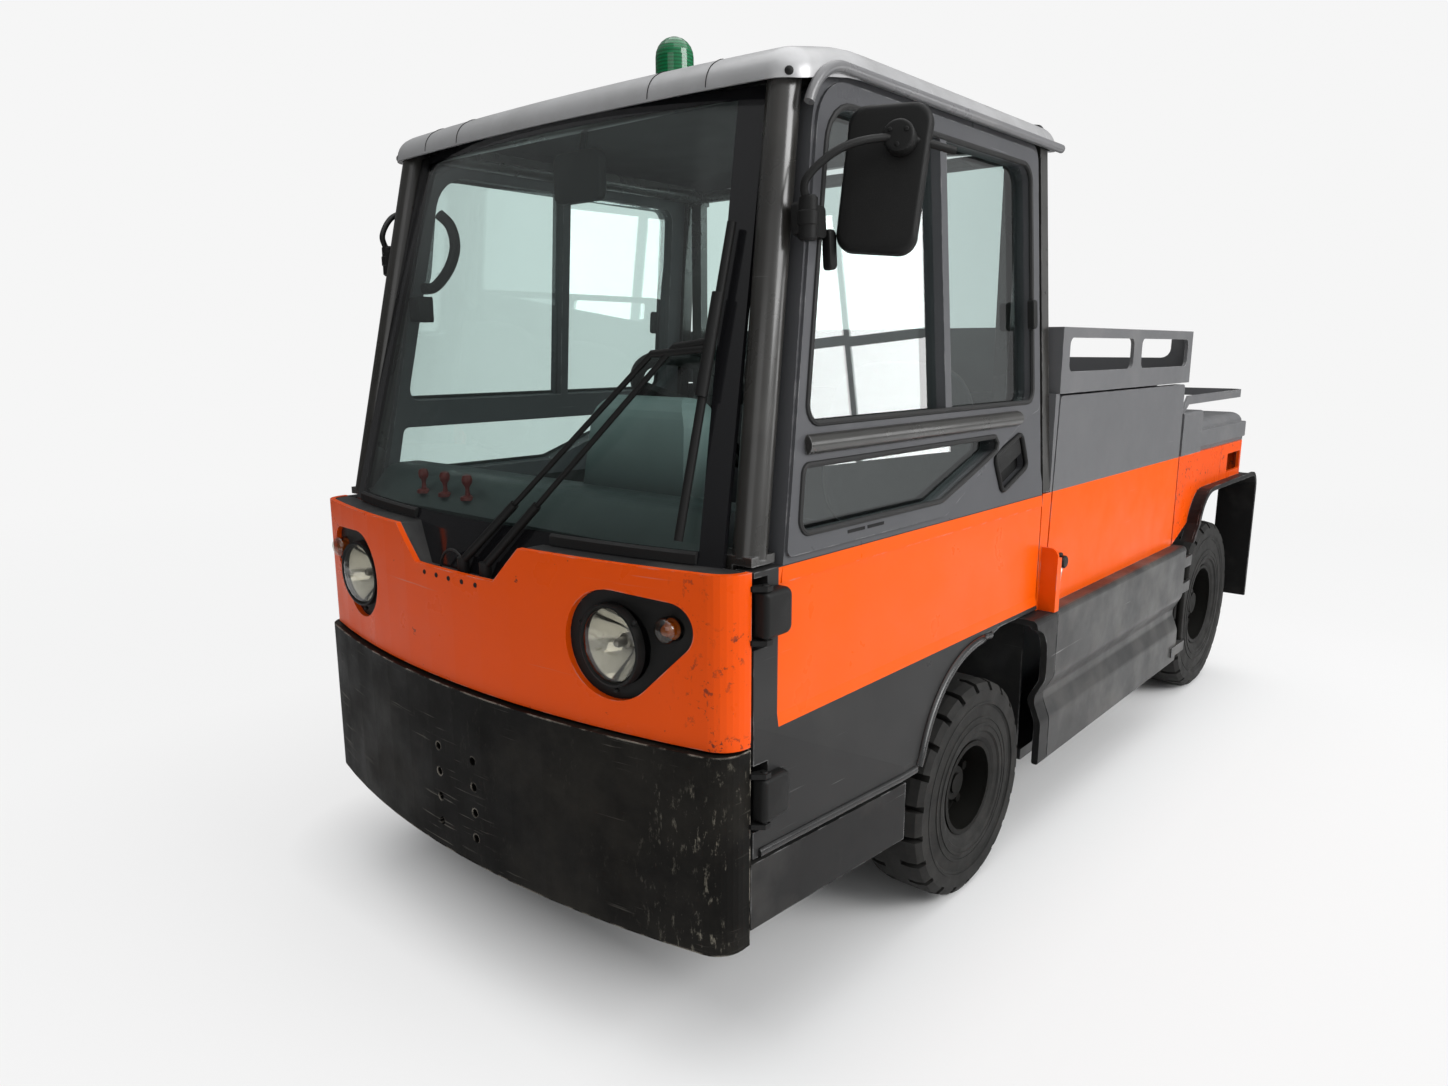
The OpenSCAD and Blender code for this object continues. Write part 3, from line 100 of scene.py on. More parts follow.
class Build:
    """Collects vertices and faces of one piece."""

    def __init__(self):
        self.verts = []
        self.faces = []

    def grid(self, rings, caps=False):
        """Faces between equal rings of points; caps close the first and the last ring."""
        start = len(self.verts)
        count = len(rings[0])
        for ring in rings:
            self.verts += [Vector(p) for p in ring]
        last = len(self.verts) - count
        for a in range(start, last, count):
            b = a + count
            for c in range(count):
                d = (c + 1) % count
                self.faces.append((a + c, a + d, b + d, b + c))
        if caps:
            for first in (start, last):
                self.faces.append(tuple(range(first, first + count)))

    def sweep(self, path, profile, closed=False):
        """Carries a closed profile (side, height) along a path of points."""
        rows = []
        last = len(path) - 1
        normal = None
        for i, p in enumerate(path):
            before = path[i - 1] if i or closed else path[0]
            after = path[(i + 1) % len(path)] if i < last or closed else path[last]
            along = (Vector(after) - Vector(before)).normalized()
            if normal is None:
                normal = Vector((0, 0, 1)) if abs(along.z) < 0.9 else Vector((1, 0, 0))
            side = along.cross(normal).normalized()
            normal = side.cross(along).normalized()
            rows.append([Vector(p) + side * s + normal * h for s, h in profile])
        if closed:
            rows.append(rows[0])
        self.grid(rows, caps=not closed)

    def tube(self, path, radius, sides, closed=False):
        self.sweep(path, circle(radius, sides), closed)

    def lathe(self, profile, centre, axis, steps):
        """Turns (radius, distance) points about an axis through centre."""
        rows = []
        for r, d in profile:
            row = []
            for u, v in circle(r, steps):
                turned = {"X": (d, u, v), "Y": (u, d, v), "Z": (u, v, d)}[axis]
                row.append(Vector(centre) + Vector(turned))
            rows.append(row)
        self.grid(rows)

    def slab(self, outline, depth, place):
        """A plate: outline in two directions, depth along the third, put in place."""
        near = [place(a, b, 0) for a, b in outline]
        far = [place(a, b, depth) for a, b in outline]
        self.grid([near, far], caps=True)

    def pad(self, outline, depth, edge, place):
        """A plate whose front edge is rounded over."""
        middle = sum((Vector((a, b)) for a, b in outline), Vector((0, 0))) / len(outline)
        rows = [[place(a, b, 0) for a, b in outline]]
        for t in even(0, math.pi / 2, PAD_STEPS):
            inset = edge * (1 - math.cos(t))
            rise = depth - edge + edge * math.sin(t)
            row = []
            for a, b in outline:
                out = Vector((a, b)) - middle
                moved = Vector((a, b)) - out.normalized() * min(inset, out.length * 0.9)
                row.append(place(moved.x, moved.y, rise))
            rows.append(row)
        self.grid(rows, caps=True)

    def done(self, name, material, body, slot, smooth=True):
        return piece(name, self.verts, self.faces, material, body, smooth)


def even(first, last, parts):
    """Values at even steps from first to last."""
    return [first + (last - first) * i / parts for i in range(parts + 1)]


def circle(radius, sides):
    turn = 2 * math.pi / sides
    return [(radius * math.cos(turn * i), radius * math.sin(turn * i)) for i in range(sides)]


def smooth(points, steps=8):
    """A curve through the points."""
    points = [Vector(p) for p in points]
    out = []
    for i in range(len(points) - 1):
        a = points[max(i - 1, 0)]
        b, c = points[i], points[i + 1]
        d = points[min(i + 2, len(points) - 1)]
        for k in range(steps):
            t = k / steps
            square = (a * 2 - b * 5 + c * 4 - d) * t * t
            cube = (b * 3 - a - c * 3 + d) * t**3
            out.append((b * 2 + (c - a) * t + square + cube) / 2)
    return out + [points[-1]]


def rounded(points, radii, steps=6):
    """A closed outline with each corner rounded by its radius."""
    out = []
    count = len(points)
    for i, p in enumerate(points):
        r = radii[i] if isinstance(radii, (list, tuple)) else radii
        p = Vector(p)
        a = (Vector(points[i - 1]) - p).normalized()
        b = (Vector(points[(i + 1) % count]) - p).normalized()
        if r <= 0:
            out.append(p)
            continue
        half = a.angle(b) / 2
        reach = r / math.tan(half)
        start, end = p + a * reach, p + b * reach
        centre = p + (a + b).normalized() * (r / math.sin(half))
        for t in even(0, 1, steps):
            arm = (start - centre).lerp(end - centre, t)
            out.append(centre + arm.normalized() * r)
    return out


def oblong(half_a, half_b, radius, steps=4):
    """A rounded rectangle of these half sizes."""
    corners = [(-half_a, -half_b), (half_a, -half_b), (half_a, half_b), (-half_a, half_b)]
    return rounded(corners, radius, steps)


def lean(side, u, y, h):
    """A point on the leaning upper cab side: u outward, h up the slope from the belt."""
    x = HALF_W + u * math.cos(TUMBLE) - h * math.sin(TUMBLE)
    return Vector((side * x, y, BELT_Z + u * math.sin(TUMBLE) + h * math.cos(TUMBLE)))


SURFACES = {}


def hit(node, origin, direction):
    """Where a ray meets a CAD node, or None."""
    if node not in SURFACES:
        mesh = NODES[node].data
        points = [v.co for v in mesh.vertices]
        SURFACES[node] = BVHTree.FromPolygons(points, [p.vertices for p in mesh.polygons])
    return SURFACES[node].ray_cast(Vector(origin), Vector(direction).normalized())[0]


def nose_y(x, z):
    """The front face of the nose panel at x and z."""
    found = hit("nose_panel", (x, FRONT_Y - 0.2, z), (0, 1, 0))
    return found.y if found else FRONT_Y + PANEL_PROUD


# Node-tree helpers
def feed(tree, socket, value):
    """Links another node's output to a socket, or sets a plain value."""
    if isinstance(value, bpy.types.NodeSocket):
        tree.links.new(value, socket)
    else:
        socket.default_value = value


def make(tree, kind, props=None, ins=None):
    node = tree.nodes.new("ShaderNode" + kind)
    for key, value in (props or {}).items():
        setattr(node, key, value)
    for key, value in (ins or {}).items():
        feed(tree, node.inputs[key], value)
    return node


def rgba(colour):
    return (colour[0], colour[1], colour[2], 1.0)


class Shade:
    """Builds one procedural material."""

    def __init__(self, name):
        self.material = bpy.data.materials.new(name)
        self.material.use_nodes = True
        self.tree = self.material.node_tree
        self.bsdf = self.tree.nodes["Principled BSDF"]
        self.output = self.tree.nodes["Material Output"]
        self.coords = make(self.tree, "TexCoord").outputs["Object"]
        axes = make(self.tree, "SeparateXYZ", ins={"Vector": self.coords}).outputs
        self.x, self.y, self.z = axes["X"], axes["Y"], axes["Z"]

    def math(self, operation, a, b=0.0, clamp=False):
        node = make(self.tree, "Math", {"operation": operation, "use_clamp": clamp}, {0: a, 1: b})
        return node.outputs[0]

    def vector(self, operation, a, b=(0, 0, 0)):
        return make(self.tree, "VectorMath", {"operation": operation}, {0: a, 1: b}).outputs

    def times(self, a, b):
        return self.math("MULTIPLY", a, b)

    def above(self, value, limit):
        return self.math("GREATER_THAN", value, limit)

    def noise(self, scale, detail=4.0, rough=0.55, stretch=None):
        vector = self.coords
        if stretch:
            vector = make(self.tree, "Mapping", ins={"Vector": vector, "Scale": stretch}).outputs[0]
        ins = {"Vector": vector, "Scale": scale, "Detail": detail, "Roughness": rough}
        return make(self.tree, "TexNoise", ins=ins).outputs["Fac"]

    def span(self, value, low, high, to_low=0.0, to_high=1.0):
        ins = {"Value": value, "From Min": low, "From Max": high, "To Min": to_low, "To Max": to_high}
        return make(self.tree, "MapRange", {"clamp": True}, ins).outputs[0]

    def mix(self, factor, a, b):
        node = make(self.tree, "Mix", {"data_type": "RGBA"}, {0: factor})
        for index, value in ((6, a), (7, b)):
            linked = isinstance(value, bpy.types.NodeSocket)
            feed(self.tree, node.inputs[index], value if linked else rgba(value))
        return node.outputs[2]

    def mottled(self, base, amount, scale):
        """The base colour, slightly lighter and darker in patches."""
        low = [c * (1 - amount) for c in base]
        high = [min(1.0, c * (1 + amount)) for c in base]
        return self.mix(self.noise(scale), low, high)

    def scratches(self, stretch, low, high):
        """Thin streaks along the short axis of stretch."""
        return self.span(self.noise(1.0, 3.0, 0.6, stretch), low, high)

    def edges(self, radius=0.004):
        """A mask that is high where the surface turns a sharp edge."""
        bevel = make(self.tree, "Bevel", {"samples": 4}, {"Radius": radius})
        plain = make(self.tree, "NewGeometry").outputs["Normal"]
        turn = self.vector("DOT_PRODUCT", bevel.outputs[0], plain)["Value"]
        return self.span(turn, 0.97, 0.8)

    def set(self, socket, value):
        feed(self.tree, self.bsdf.inputs[socket], value)

    def gloss(self, scale, low, high):
        """Roughness between low and high, in patches."""
        self.set("Roughness", self.span(self.noise(scale), 0.3, 0.7, low, high))

    def bump(self, height, strength, distance):
        ins = {"Strength": strength, "Distance": distance, "Height": height}
        self.set("Normal", make(self.tree, "Bump", ins=ins).outputs[0])

    def clear(self, tint=(1, 1, 1)):
        return make(self.tree, "BsdfTransparent", ins={"Color": rgba(tint)})

    def blend(self, share, first, second):
        """Two shaders, with that share of the second."""
        return make(self.tree, "MixShader", ins={0: share, 1: first.outputs[0], 2: second.outputs[0]})

    def show(self, shader):
        self.tree.links.new(shader.outputs[0], self.output.inputs["Surface"])
        return self.material


def plain_finish(name, base, rough, metal=0.0, grain=300.0, grain_depth=0.15, mottle=0.12, shine=0.3):
    """A finish with patches of tone, uneven gloss and a fine grain."""
    s = Shade(name)
    s.set("Base Color", s.mottled(base, mottle, 7.0))
    s.gloss(11.0, rough - 0.07, rough + 0.07)
    s.set("Metallic", metal)
    s.set("Specular IOR Level", shine)
    s.bump(s.noise(grain, 2.0), grain_depth, 0.001)
    return s.material


def painted(
    name,
    base,
    rough,
    wear,
    dust=0.1,
    coat=0.2,
    region=None,
    second=None,
    top=None,
    chips=None,
    shine=0.14,
    dents=0.0,
):
    """Body paint in up to three colours, with worn edges, scratches, dust and chips."""
    s = Shade(name)
    colour = s.mottled(base, 0.05, 3.0)
    if region:
        colour = s.mix(region(s), colour, s.mottled(second, 0.06, 3.0))
    if top:
        colour = s.mix(above_belt(s), colour, s.mottled(top, 0.06, 3.0))
    film = s.span(s.noise(5.0, 6.0), 0.5, 0.8, 0.0, dust)
    colour = s.mix(film, colour, (0.42, 0.40, 0.37))
    streaks = s.times(s.scratches((1.5, 2.2, 90.0), 0.7, 0.76), 0.35)
    colour = s.mix(streaks, colour, wear)
    worn = s.times(s.edges(), s.span(s.noise(22.0, 5.0), 0.46, 0.62))
    colour = s.mix(s.times(worn, 0.7), colour, wear)
    if chips:
        colour = s.mix(chips(s), colour, (0.02, 0.019, 0.018))
    s.set("Base Color", colour)
    s.gloss(9.0, rough - 0.06, rough + 0.1)
    s.set("Coat Weight", coat)
    s.set("Coat Roughness", 0.12)
    s.set("Specular IOR Level", shine)
    ripple = s.math("ADD", s.noise(260.0, 2.0), s.times(s.noise(5.5, 2.0), dents))
    s.bump(ripple, 0.05, 0.0006)
    return s.material


def between(s, value, low, high):
    """One inside the band and nothing outside it."""
    return s.times(s.above(value, low), s.math("LESS_THAN", value, high))


def pane(name, tint, gloss=0.02, cover=None, mirror=0.035):
    """Thin tinted glass: clear by default, opaque black where cover says."""
    s = Shade(name)
    shine = make(s.tree, "BsdfGlossy", ins={"Color": (1, 1, 1, 1), "Roughness": gloss})
    facing = make(s.tree, "LayerWeight", ins={"Blend": 0.5}).outputs["Facing"]
    grazing = s.times(s.math("POWER", facing, 5.0), 0.9)
    smear = s.span(s.noise(4.0, 5.0, 0.6, (1.0, 1.0, 0.4)), 0.55, 0.8, 0.0, 0.03)
    share = s.math("ADD", s.math("ADD", grazing, mirror), smear)
    glass = s.blend(share, s.clear(tint), shine)
    if not cover:
        return s.show(glass)
    s.set("Base Color", rgba(BORDER_BLACK))
    s.set("Roughness", 0.12)
    return s.show(s.blend(cover(s), glass, s.bsdf))


# Colours
ORANGE = (0.70, 0.071, 0.0015)
# The same orange with more green: a painted sheen for the light reflected from the doors and side panels
LIT_ORANGE = (0.71, 0.084, 0.0015)
# One charcoal paint in a shaded and a lit copy: the dark grey is made darker as painted shade, the mid grey
# lighter as painted light
SHADED_GREY = (0.026, 0.026, 0.026)
LIT_GREY = (0.118, 0.119, 0.123)
BLACK = (0.0045, 0.0042, 0.0036)
PALE_WEAR = (0.33, 0.31, 0.28)
GREY_WEAR = (0.30, 0.30, 0.30)
# The same charcoal on the door frame above the belt, lighter than the door's grey below it as painted light
LIT_FRAME_GREY = (0.078, 0.079, 0.084)
BORDER_BLACK = (0.008, 0.008, 0.009)
FIELD_FOOT = 0.016
FIELD_HEAD = 0.002
FIELD_FRONT = 0.066
SKIN_DEPTH = 0.01


def door_field(s):
    """Dark grey, a painted shade, round the orange field of the door, and on its inner face."""
    band = between(s, s.z, LEDGE_Z + FIELD_FOOT, BELT_Z - FIELD_HEAD)
    inside = s.times(band, s.above(s.y, DOOR_F + FIELD_FRONT))
    outer = s.above(s.math("ABSOLUTE", s.x), HALF_W - SKIN_DEPTH)
    return s.math("SUBTRACT", 1.0, s.times(inside, outer))


def above_belt(s):
    return s.above(s.z, BELT_Z)


def corner_chips(s):
    """Chipped paint on the left corner of the nose and a few marks elsewhere."""
    near = s.span(s.x, 0.53, 0.645)
    spots = s.span(s.noise(55.0, 6.0, 0.7), 0.57, 0.60)
    rubbed = s.span(s.noise(9.0, 5.0), 0.5, 0.62)
    drags = s.span(s.noise(1.0, 6.0, 0.75, (70.0, 70.0, 16.0)), 0.60, 0.66)
    marks = s.math("MAXIMUM", spots, drags)
    corner = s.times(s.times(marks, rubbed), near)
    few = s.times(s.span(s.noise(38.0, 5.0, 0.65), 0.70, 0.72), 0.8)
    return s.math("MAXIMUM", corner, few, True)


def bumper_finish():
    """Matt black steel, scuffed grey along the edges and flecked with chips."""
    s = Shade("worn_black")
    colour = s.mottled(BLACK, 0.35, 5.0)
    cloud = s.span(s.noise(3.2, 7.0, 0.65), 0.46, 0.7, 0.0, 0.5)
    colour = s.mix(cloud, colour, (0.030, 0.027, 0.022))
    near_edge = s.span(s.x, 0.47, 0.62, 0.06, 1.0)
    patches = s.span(s.noise(7.0, 4.0), 0.44, 0.56)
    streaks = s.span(s.noise(1.0, 6.0, 0.75, (85.0, 85.0, 30.0)), 0.57, 0.66)
    scuffed = s.times(s.times(streaks, patches), near_edge)
    colour = s.mix(s.times(scuffed, 0.85), colour, (0.19, 0.175, 0.14))
    rubs = s.span(s.noise(4.0), 0.45, 0.6, 0.0, 0.45)
    lines = s.times(s.scratches((6.0, 6.0, 150.0), 0.62, 0.67), rubs)
    colour = s.mix(lines, colour, (0.15, 0.14, 0.12))
    rubbed = s.times(s.edges(0.006), s.span(s.noise(30.0, 5.0), 0.45, 0.58))
    colour = s.mix(s.times(rubbed, 0.85), colour, (0.36, 0.33, 0.28))
    s.set("Base Color", colour)
    s.gloss(8.0, 0.42, 0.62)
    s.set("Specular IOR Level", 0.07)
    s.bump(s.noise(120.0, 6.0, 0.7), 0.22, 0.001)
    return s.material


def roof_finish():
    """Silver-grey roof under a film of dust, with fine scratches."""
    s = Shade("roof_silver")
    colour = s.mottled((0.40, 0.40, 0.405), 0.1, 4.0)
    film = s.span(s.noise(9.0, 7.0, 0.65), 0.42, 0.75, 0.0, 0.35)
    colour = s.mix(film, colour, (0.22, 0.215, 0.205))
    lines = s.times(s.scratches((2.0, 60.0, 8.0), 0.7, 0.75), 0.4)
    colour = s.mix(lines, colour, (0.6, 0.6, 0.59))
    s.set("Base Color", colour)
    s.set("Metallic", 0.35)
    s.gloss(12.0, 0.3, 0.5)
    s.set("Coat Weight", 0.15)
    s.bump(s.noise(180.0, 4.0), 0.06, 0.001)
    return s.material


def tyre_finish():
    s = Shade("tyre_rubber_worn")
    colour = s.mottled((0.012, 0.0117, 0.011), 0.25, 14.0)
    dust = s.span(s.noise(16.0, 6.0, 0.7), 0.45, 0.75, 0.0, 0.5)
    colour = s.mix(dust, colour, (0.034, 0.032, 0.029))
    s.set("Base Color", colour)
    s.gloss(20.0, 0.68, 0.85)
    s.set("Specular IOR Level", 0.25)
    s.bump(s.noise(420.0, 3.0, 0.6), 0.25, 0.001)
    return s.material


def screen_cover(s):
    """The black border printed round the windscreen."""
    x = s.math("ABSOLUTE", s.x)
    limit = s.span(s.z, BELT_Z, ROOF_LOW.z, 0.548, 0.476)
    side = s.above(x, limit)
    top = s.above(s.z, ROOF_LOW.z + 0.004)
    low = s.math("LESS_THAN", s.z, BELT_Z + 0.022)
    return s.math("MAXIMUM", side, s.math("MAXIMUM", top, low))


def green_finish():
    s = Shade("green_lens_ribbed")
    # Bands of lighter and darker green round the lens: painted light and shade of its ribs
    ring = s.math("SINE", s.times(s.z, 900.0))
    s.set("Base Color", s.mix(s.span(ring, -1, 1), (0.0, 0.10, 0.03), (0.0, 0.20, 0.07)))
    s.set("Roughness", 0.12)
    s.set("Coat Weight", 0.5)
    return s.show(s.blend(0.72, s.clear((0.005, 0.30, 0.10)), s.bsdf))


def lens_finish(name, colour, share):
    """Coloured lens plastic, partly see-through."""
    s = Shade(name)
    s.set("Base Color", s.mottled(colour, 0.1, 60.0))
    s.set("Roughness", 0.1)
    s.set("Coat Weight", 0.6)
    return s.show(s.blend(share, s.clear(colour), s.bsdf))


def fabric_finish():
    s = Shade("seat_fabric_woven")
    s.set("Base Color", s.mottled((0.022, 0.022, 0.024), 0.3, 40.0))
    s.gloss(30.0, 0.75, 0.95)
    s.set("Sheen Weight", 0.25)
    weave = make(s.tree, "TexVoronoi", ins={"Vector": s.coords, "Scale": 600.0}).outputs["Distance"]
    s.bump(weave, 0.35, 0.001)
    return s.material


def dash_finish():
    """Grey-green moulding: darker at its foot as painted shade, paler towards the top of the instrument hood
    as painted light.
    """
    s = Shade("dash_plastic")
    low = s.span(s.z, BELT_Z - 0.02, BELT_Z + 0.08)
    high = s.span(s.z, BELT_Z + 0.09, BELT_Z + 0.27)
    colour = s.mix(low, (0.012, 0.014, 0.014), s.mottled((0.036, 0.047, 0.047), 0.15, 9.0))
    s.set("Base Color", s.mix(high, colour, s.mottled((0.20, 0.255, 0.25), 0.1, 9.0)))
    s.gloss(14.0, 0.34, 0.5)
    s.bump(s.noise(800.0, 2.0), 0.12, 0.001)
    return s.material


# Paint: name, colour, roughness, wear, dust, coat, region, its colour, colour above the belt
M_ORANGE = painted("orange_paint_worn", ORANGE, 0.3, PALE_WEAR, 0.01, 0.02, chips=corner_chips, shine=0.1)
# The door's grey is the shaded copy below the belt and the lighter frame grey above it: painted shade and
# painted light
M_DOOR = painted(
    "door_paint", LIT_ORANGE, 0.32, GREY_WEAR, 0.02, 0.02, door_field, SHADED_GREY, LIT_FRAME_GREY, shine=0.09
)
M_SPLIT = painted("side_paint", LIT_ORANGE, 0.34, GREY_WEAR, 0.03, 0.02, above_belt, LIT_GREY, shine=0.06)
# The lit and the shaded copy of the cab's grey paint: painted light and painted shade
M_GREY = painted("lit_grey_paint", LIT_GREY, 0.36, GREY_WEAR, 0.12, 0.2)
M_DARK = painted("shaded_grey_paint", SHADED_GREY, 0.4, GREY_WEAR, 0.12, 0.15, dents=30.0)
M_FRAME = painted("satin_black_tube", (0.020, 0.019, 0.017), 0.28, GREY_WEAR, 0.04, 0.25, shine=0.5)
M_SILL = painted("sill_paint", (0.014, 0.014, 0.014), 0.42, GREY_WEAR, 0.08, 0.05, shine=0.1, dents=30.0)
M_FENDER = painted("fender_black", (0.008, 0.008, 0.008), 0.45, GREY_WEAR, 0.06, 0.05, shine=0.1)
M_GUTTER = painted("gutter_grey", (0.13, 0.13, 0.134), 0.3, GREY_WEAR, 0.1, 0.2, shine=0.3)
M_BUMPER = bumper_finish()
M_ROOF = roof_finish()
M_TYRE = tyre_finish()
M_FABRIC = fabric_finish()
M_SCREEN = pane("screen_glass", (0.905, 0.965, 0.95), 0.01, screen_cover)
M_GLASS = pane("side_glass", (0.90, 0.955, 0.945), 0.01, None, 0.13)
M_BACK = pane("rear_glass", (0.90, 0.955, 0.945), 0.01)
M_LAMP = pane("lamp_lens_glass", (0.80, 0.79, 0.75), 0.05)
M_GREEN = green_finish()
M_AMBER = lens_finish("amber_lens_plastic", (0.42, 0.09, 0.008), 0.8)
M_RED = lens_finish("red_lens_plastic", (0.5, 0.012, 0.01), 0.75)
# Finish: name, colour, roughness, metal, grain scale, grain depth, patches, gloss
M_PLASTIC = plain_finish("black_plastic_grained", (0.006, 0.006, 0.0058), 0.52, 0.0, 700.0, 0.3, 0.12, 0.2)
M_RUBBER = plain_finish("black_rubber", (0.013, 0.013, 0.013), 0.62, 0.0, 500.0, 0.2)
M_BEAD = plain_finish("satin_rubber", (0.007, 0.007, 0.007), 0.28, 0.0, 500.0, 0.1, 0.12, 0.5)
M_STEEL = plain_finish("worn_steel", (0.36, 0.35, 0.33), 0.38, 0.9, 90.0, 0.2, 0.3)
M_CHASSIS = plain_finish("chassis_black", (0.006, 0.0058, 0.005), 0.62, 0.0, 60.0, 0.3, 0.3, 0.1)
M_RIM = plain_finish("rim_black", (0.006, 0.0058, 0.005), 0.55, 0.0, 120.0, 0.25, 0.3, 0.1)
M_CHROME = plain_finish("chrome", (0.82, 0.82, 0.8), 0.12, 1.0, 500.0, 0.03, 0.04)
M_MIRROR = plain_finish("mirror_silver", (0.8, 0.82, 0.82), 0.04, 1.0, 40.0, 0.005, 0.02)
M_SILVER = plain_finish("dull_aluminium", (0.45, 0.45, 0.46), 0.35, 0.85, 200.0, 0.1)
M_CASE = plain_finish("battery_blue_grey", (0.05, 0.055, 0.062), 0.55, 0.0, 200.0, 0.2)
M_LINING = plain_finish("roof_lining_black", (0.016, 0.016, 0.017), 0.85, 0.0, 400.0, 0.25)
M_TRIM = plain_finish("cab_trim_grey", (0.028, 0.029, 0.030), 0.7, 0.0, 600.0, 0.12)
M_DASH = dash_finish()
M_SWITCH = plain_finish("red_switch", (0.11, 0.008, 0.006), 0.4, 0.0, 500.0, 0.15)
# Near black: painted shade in the nose holes, drain slots and grip pocket, and the real dark joint of the
# roof seams
M_HOLE_SHADE_AND_SEAM = plain_finish("hole_shade_and_seam_black", (0.006, 0.006, 0.006), 0.8, 0.0, 200.0, 0.1)

# The finish of each CAD node; * stands for left and right
FINISHES = {
    M_ORANGE: "nose_panel rear_body",
    M_DOOR: "door_*",
    M_SPLIT: "side_panel_* post_strips",
    M_GREY: "tray rear_deck rear_rail",
    M_DARK: "gate_* battery_bay cowl",
    M_SILL: "sills",
    M_FENDER: "rear_fenders",
    M_FRAME: "cab_frame door_*_fittings",
    M_BUMPER: "front_bumper",
    M_ROOF: "roof",
    M_TYRE: "front_tyre_* rear_tyre_*",
    M_FABRIC: "seats",
    M_SCREEN: "windscreen",
    M_GLASS: "door_*_glass",
    M_BACK: "rear_window",
    M_LAMP: "headlamps",
    M_GREEN: "beacon_lens",
    M_AMBER: "indicators",
    M_RED: "tail_lamps",
    M_PLASTIC: "lamp_bezels beacon_base mirror_* door_*_hinges hinge_pins steering_wheel wipers",
    M_DASH: "dashboard",
    M_STEEL: "tow_pin",
    M_CHASSIS: "front_frame rear_frame tow_jaw front_axle rear_axle knuckle_* gate_hinges",
    M_RIM: "front_rim_* rear_rim_*",
    M_CASE: "battery",
    M_TRIM: "cab_tub",
}
for finish, patterns in FINISHES.items():
    for pattern in patterns.split():
        for name in dict.fromkeys(pattern.replace("*", side_name) for side_name, side in SIDES):
            mesh = NODES[name].data
            mesh.materials.clear()
            mesh.materials.append(finish)
            mesh.shade_smooth()
            mesh.set_sharp_from_angle(angle=NODE_SHARP)

# Headlamps: reflector bowl, bulb, fluted lens and screwed ring
LAMP_LOW, LAMP_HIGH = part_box("headlamps")
LAMP_Z = (LAMP_LOW.z + LAMP_HIGH.z) / 2
LAMP_R = (LAMP_HIGH.z - LAMP_LOW.z) / 2
LAMP_X = LAMP_HIGH.x - LAMP_R
LENS_R = LAMP_R - 0.006
LENS_Y = LAMP_LOW.y + 0.016
LENS_T = 0.004
LENS_BULGE = 0.016
FLUTE = 0.0012
FLUTES = 420.0
BOWL_DEPTH = 0.052
RING_SCREW_R = LENS_R + 0.012
RING_SCREWS = (40, 160, 280)
# Turned lines: radius, distance along the axis
BULB_LINE = ((0, 0.012), (0.006, 0.013), (0.009, 0.018), (0.009, 0.034), (0.014, 0.036))
BULB_LINE += ((0.014, 0.05), (0, 0.05))
RING_LINE = ((-0.003, -0.002), (0.001, -0.007), (0.005, -0.006), (0.006, 0), (0.006, 0.012), (-0.003, 0.012))
RING_LINE += RING_LINE[:1]
RING_SCREW = ((0, -0.003), (0.003, -0.0028), (0.0045, -0.001), (0.0045, 0.004), (0, 0.004))


def lens_rows(centre_x, rings=14, steps=64):
    """Rings of the bulging, fluted lens from its middle to its edge."""
    rows = []
    for t in even(0, math.pi / 2, rings):
        r = LENS_R * math.sin(t)
        row = []
        for u, v in circle(r, steps):
            flute = FLUTE * abs(math.sin(u * FLUTES)) * (1 - (r / LENS_R) ** 6)
            row.append(Vector((centre_x + u, LENS_Y - LENS_BULGE * math.cos(t) - flute, LAMP_Z + v)))
        rows.append(row)
    return rows


for side_name, side in SIDES:
    centre = (side * LAMP_X, LENS_Y, LAMP_Z)
    lens = Build()
    front = lens_rows(side * LAMP_X)
    back = [[p + Vector((0, LENS_T, 0)) for p in row] for row in reversed(front)]
    lens.grid(front + back)
    lens_piece = lens.done("headlamp_lens_" + side_name, M_LAMP, "tractor", "lamp_glass")
    bowl = Build()
    inside = [(LENS_R * t, BOWL_DEPTH * (1 - t**2) + LENS_T) for t in even(0, 1, 12)]
    outside = [(r + 0.002, d + 0.003) for r, d in reversed(inside)]
    bowl.lathe(inside + outside, centre, "Y", 40)
    bowl_piece = bowl.done("headlamp_reflector_" + side_name, M_CHROME, "tractor", "aluminium")
    bulb = Build()
    bulb.lathe(BULB_LINE, centre, "Y", 20)
    bulb_piece = bulb.done("headlamp_bulb_" + side_name, M_SILVER, "tractor", "aluminium")
    ring = Build()
    ring.lathe([(LENS_R + r, d) for r, d in RING_LINE], centre, "Y", 48)
    for degrees in RING_SCREWS:
        at = math.radians(degrees)
        x = centre[0] + RING_SCREW_R * math.cos(at)
        ring.lathe(RING_SCREW, (x, LENS_Y - 0.001, LAMP_Z + RING_SCREW_R * math.sin(at)), "Y", 12)
    ring_piece = ring.done("headlamp_ring_" + side_name, M_PLASTIC, "tractor", "black_plastic")
    for new in (lens_piece, bowl_piece, bulb_piece, ring_piece):
        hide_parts("headlamps")

# Knuckles with their spindles cut back to the hub
SPINDLE_FROM = 0.56
SPINDLE_END = 0.616
for side_name, side in SIDES:
    copy = NODES["knuckle_" + side_name].data.copy()
    short = bpy.data.objects.new("knuckle_short_" + side_name, copy)
    bpy.context.collection.objects.link(short)
    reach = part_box("knuckle_left")[1].x
    share = (SPINDLE_END - SPINDLE_FROM) / (reach - SPINDLE_FROM)
    for point in short.data.vertices:
        over = abs(point.co.x) - SPINDLE_FROM
        if over > 0:
            point.co.x = side * (SPINDLE_FROM + over * share)
    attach(short, "steer_" + side_name)
    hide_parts("knuckle_" + side_name)

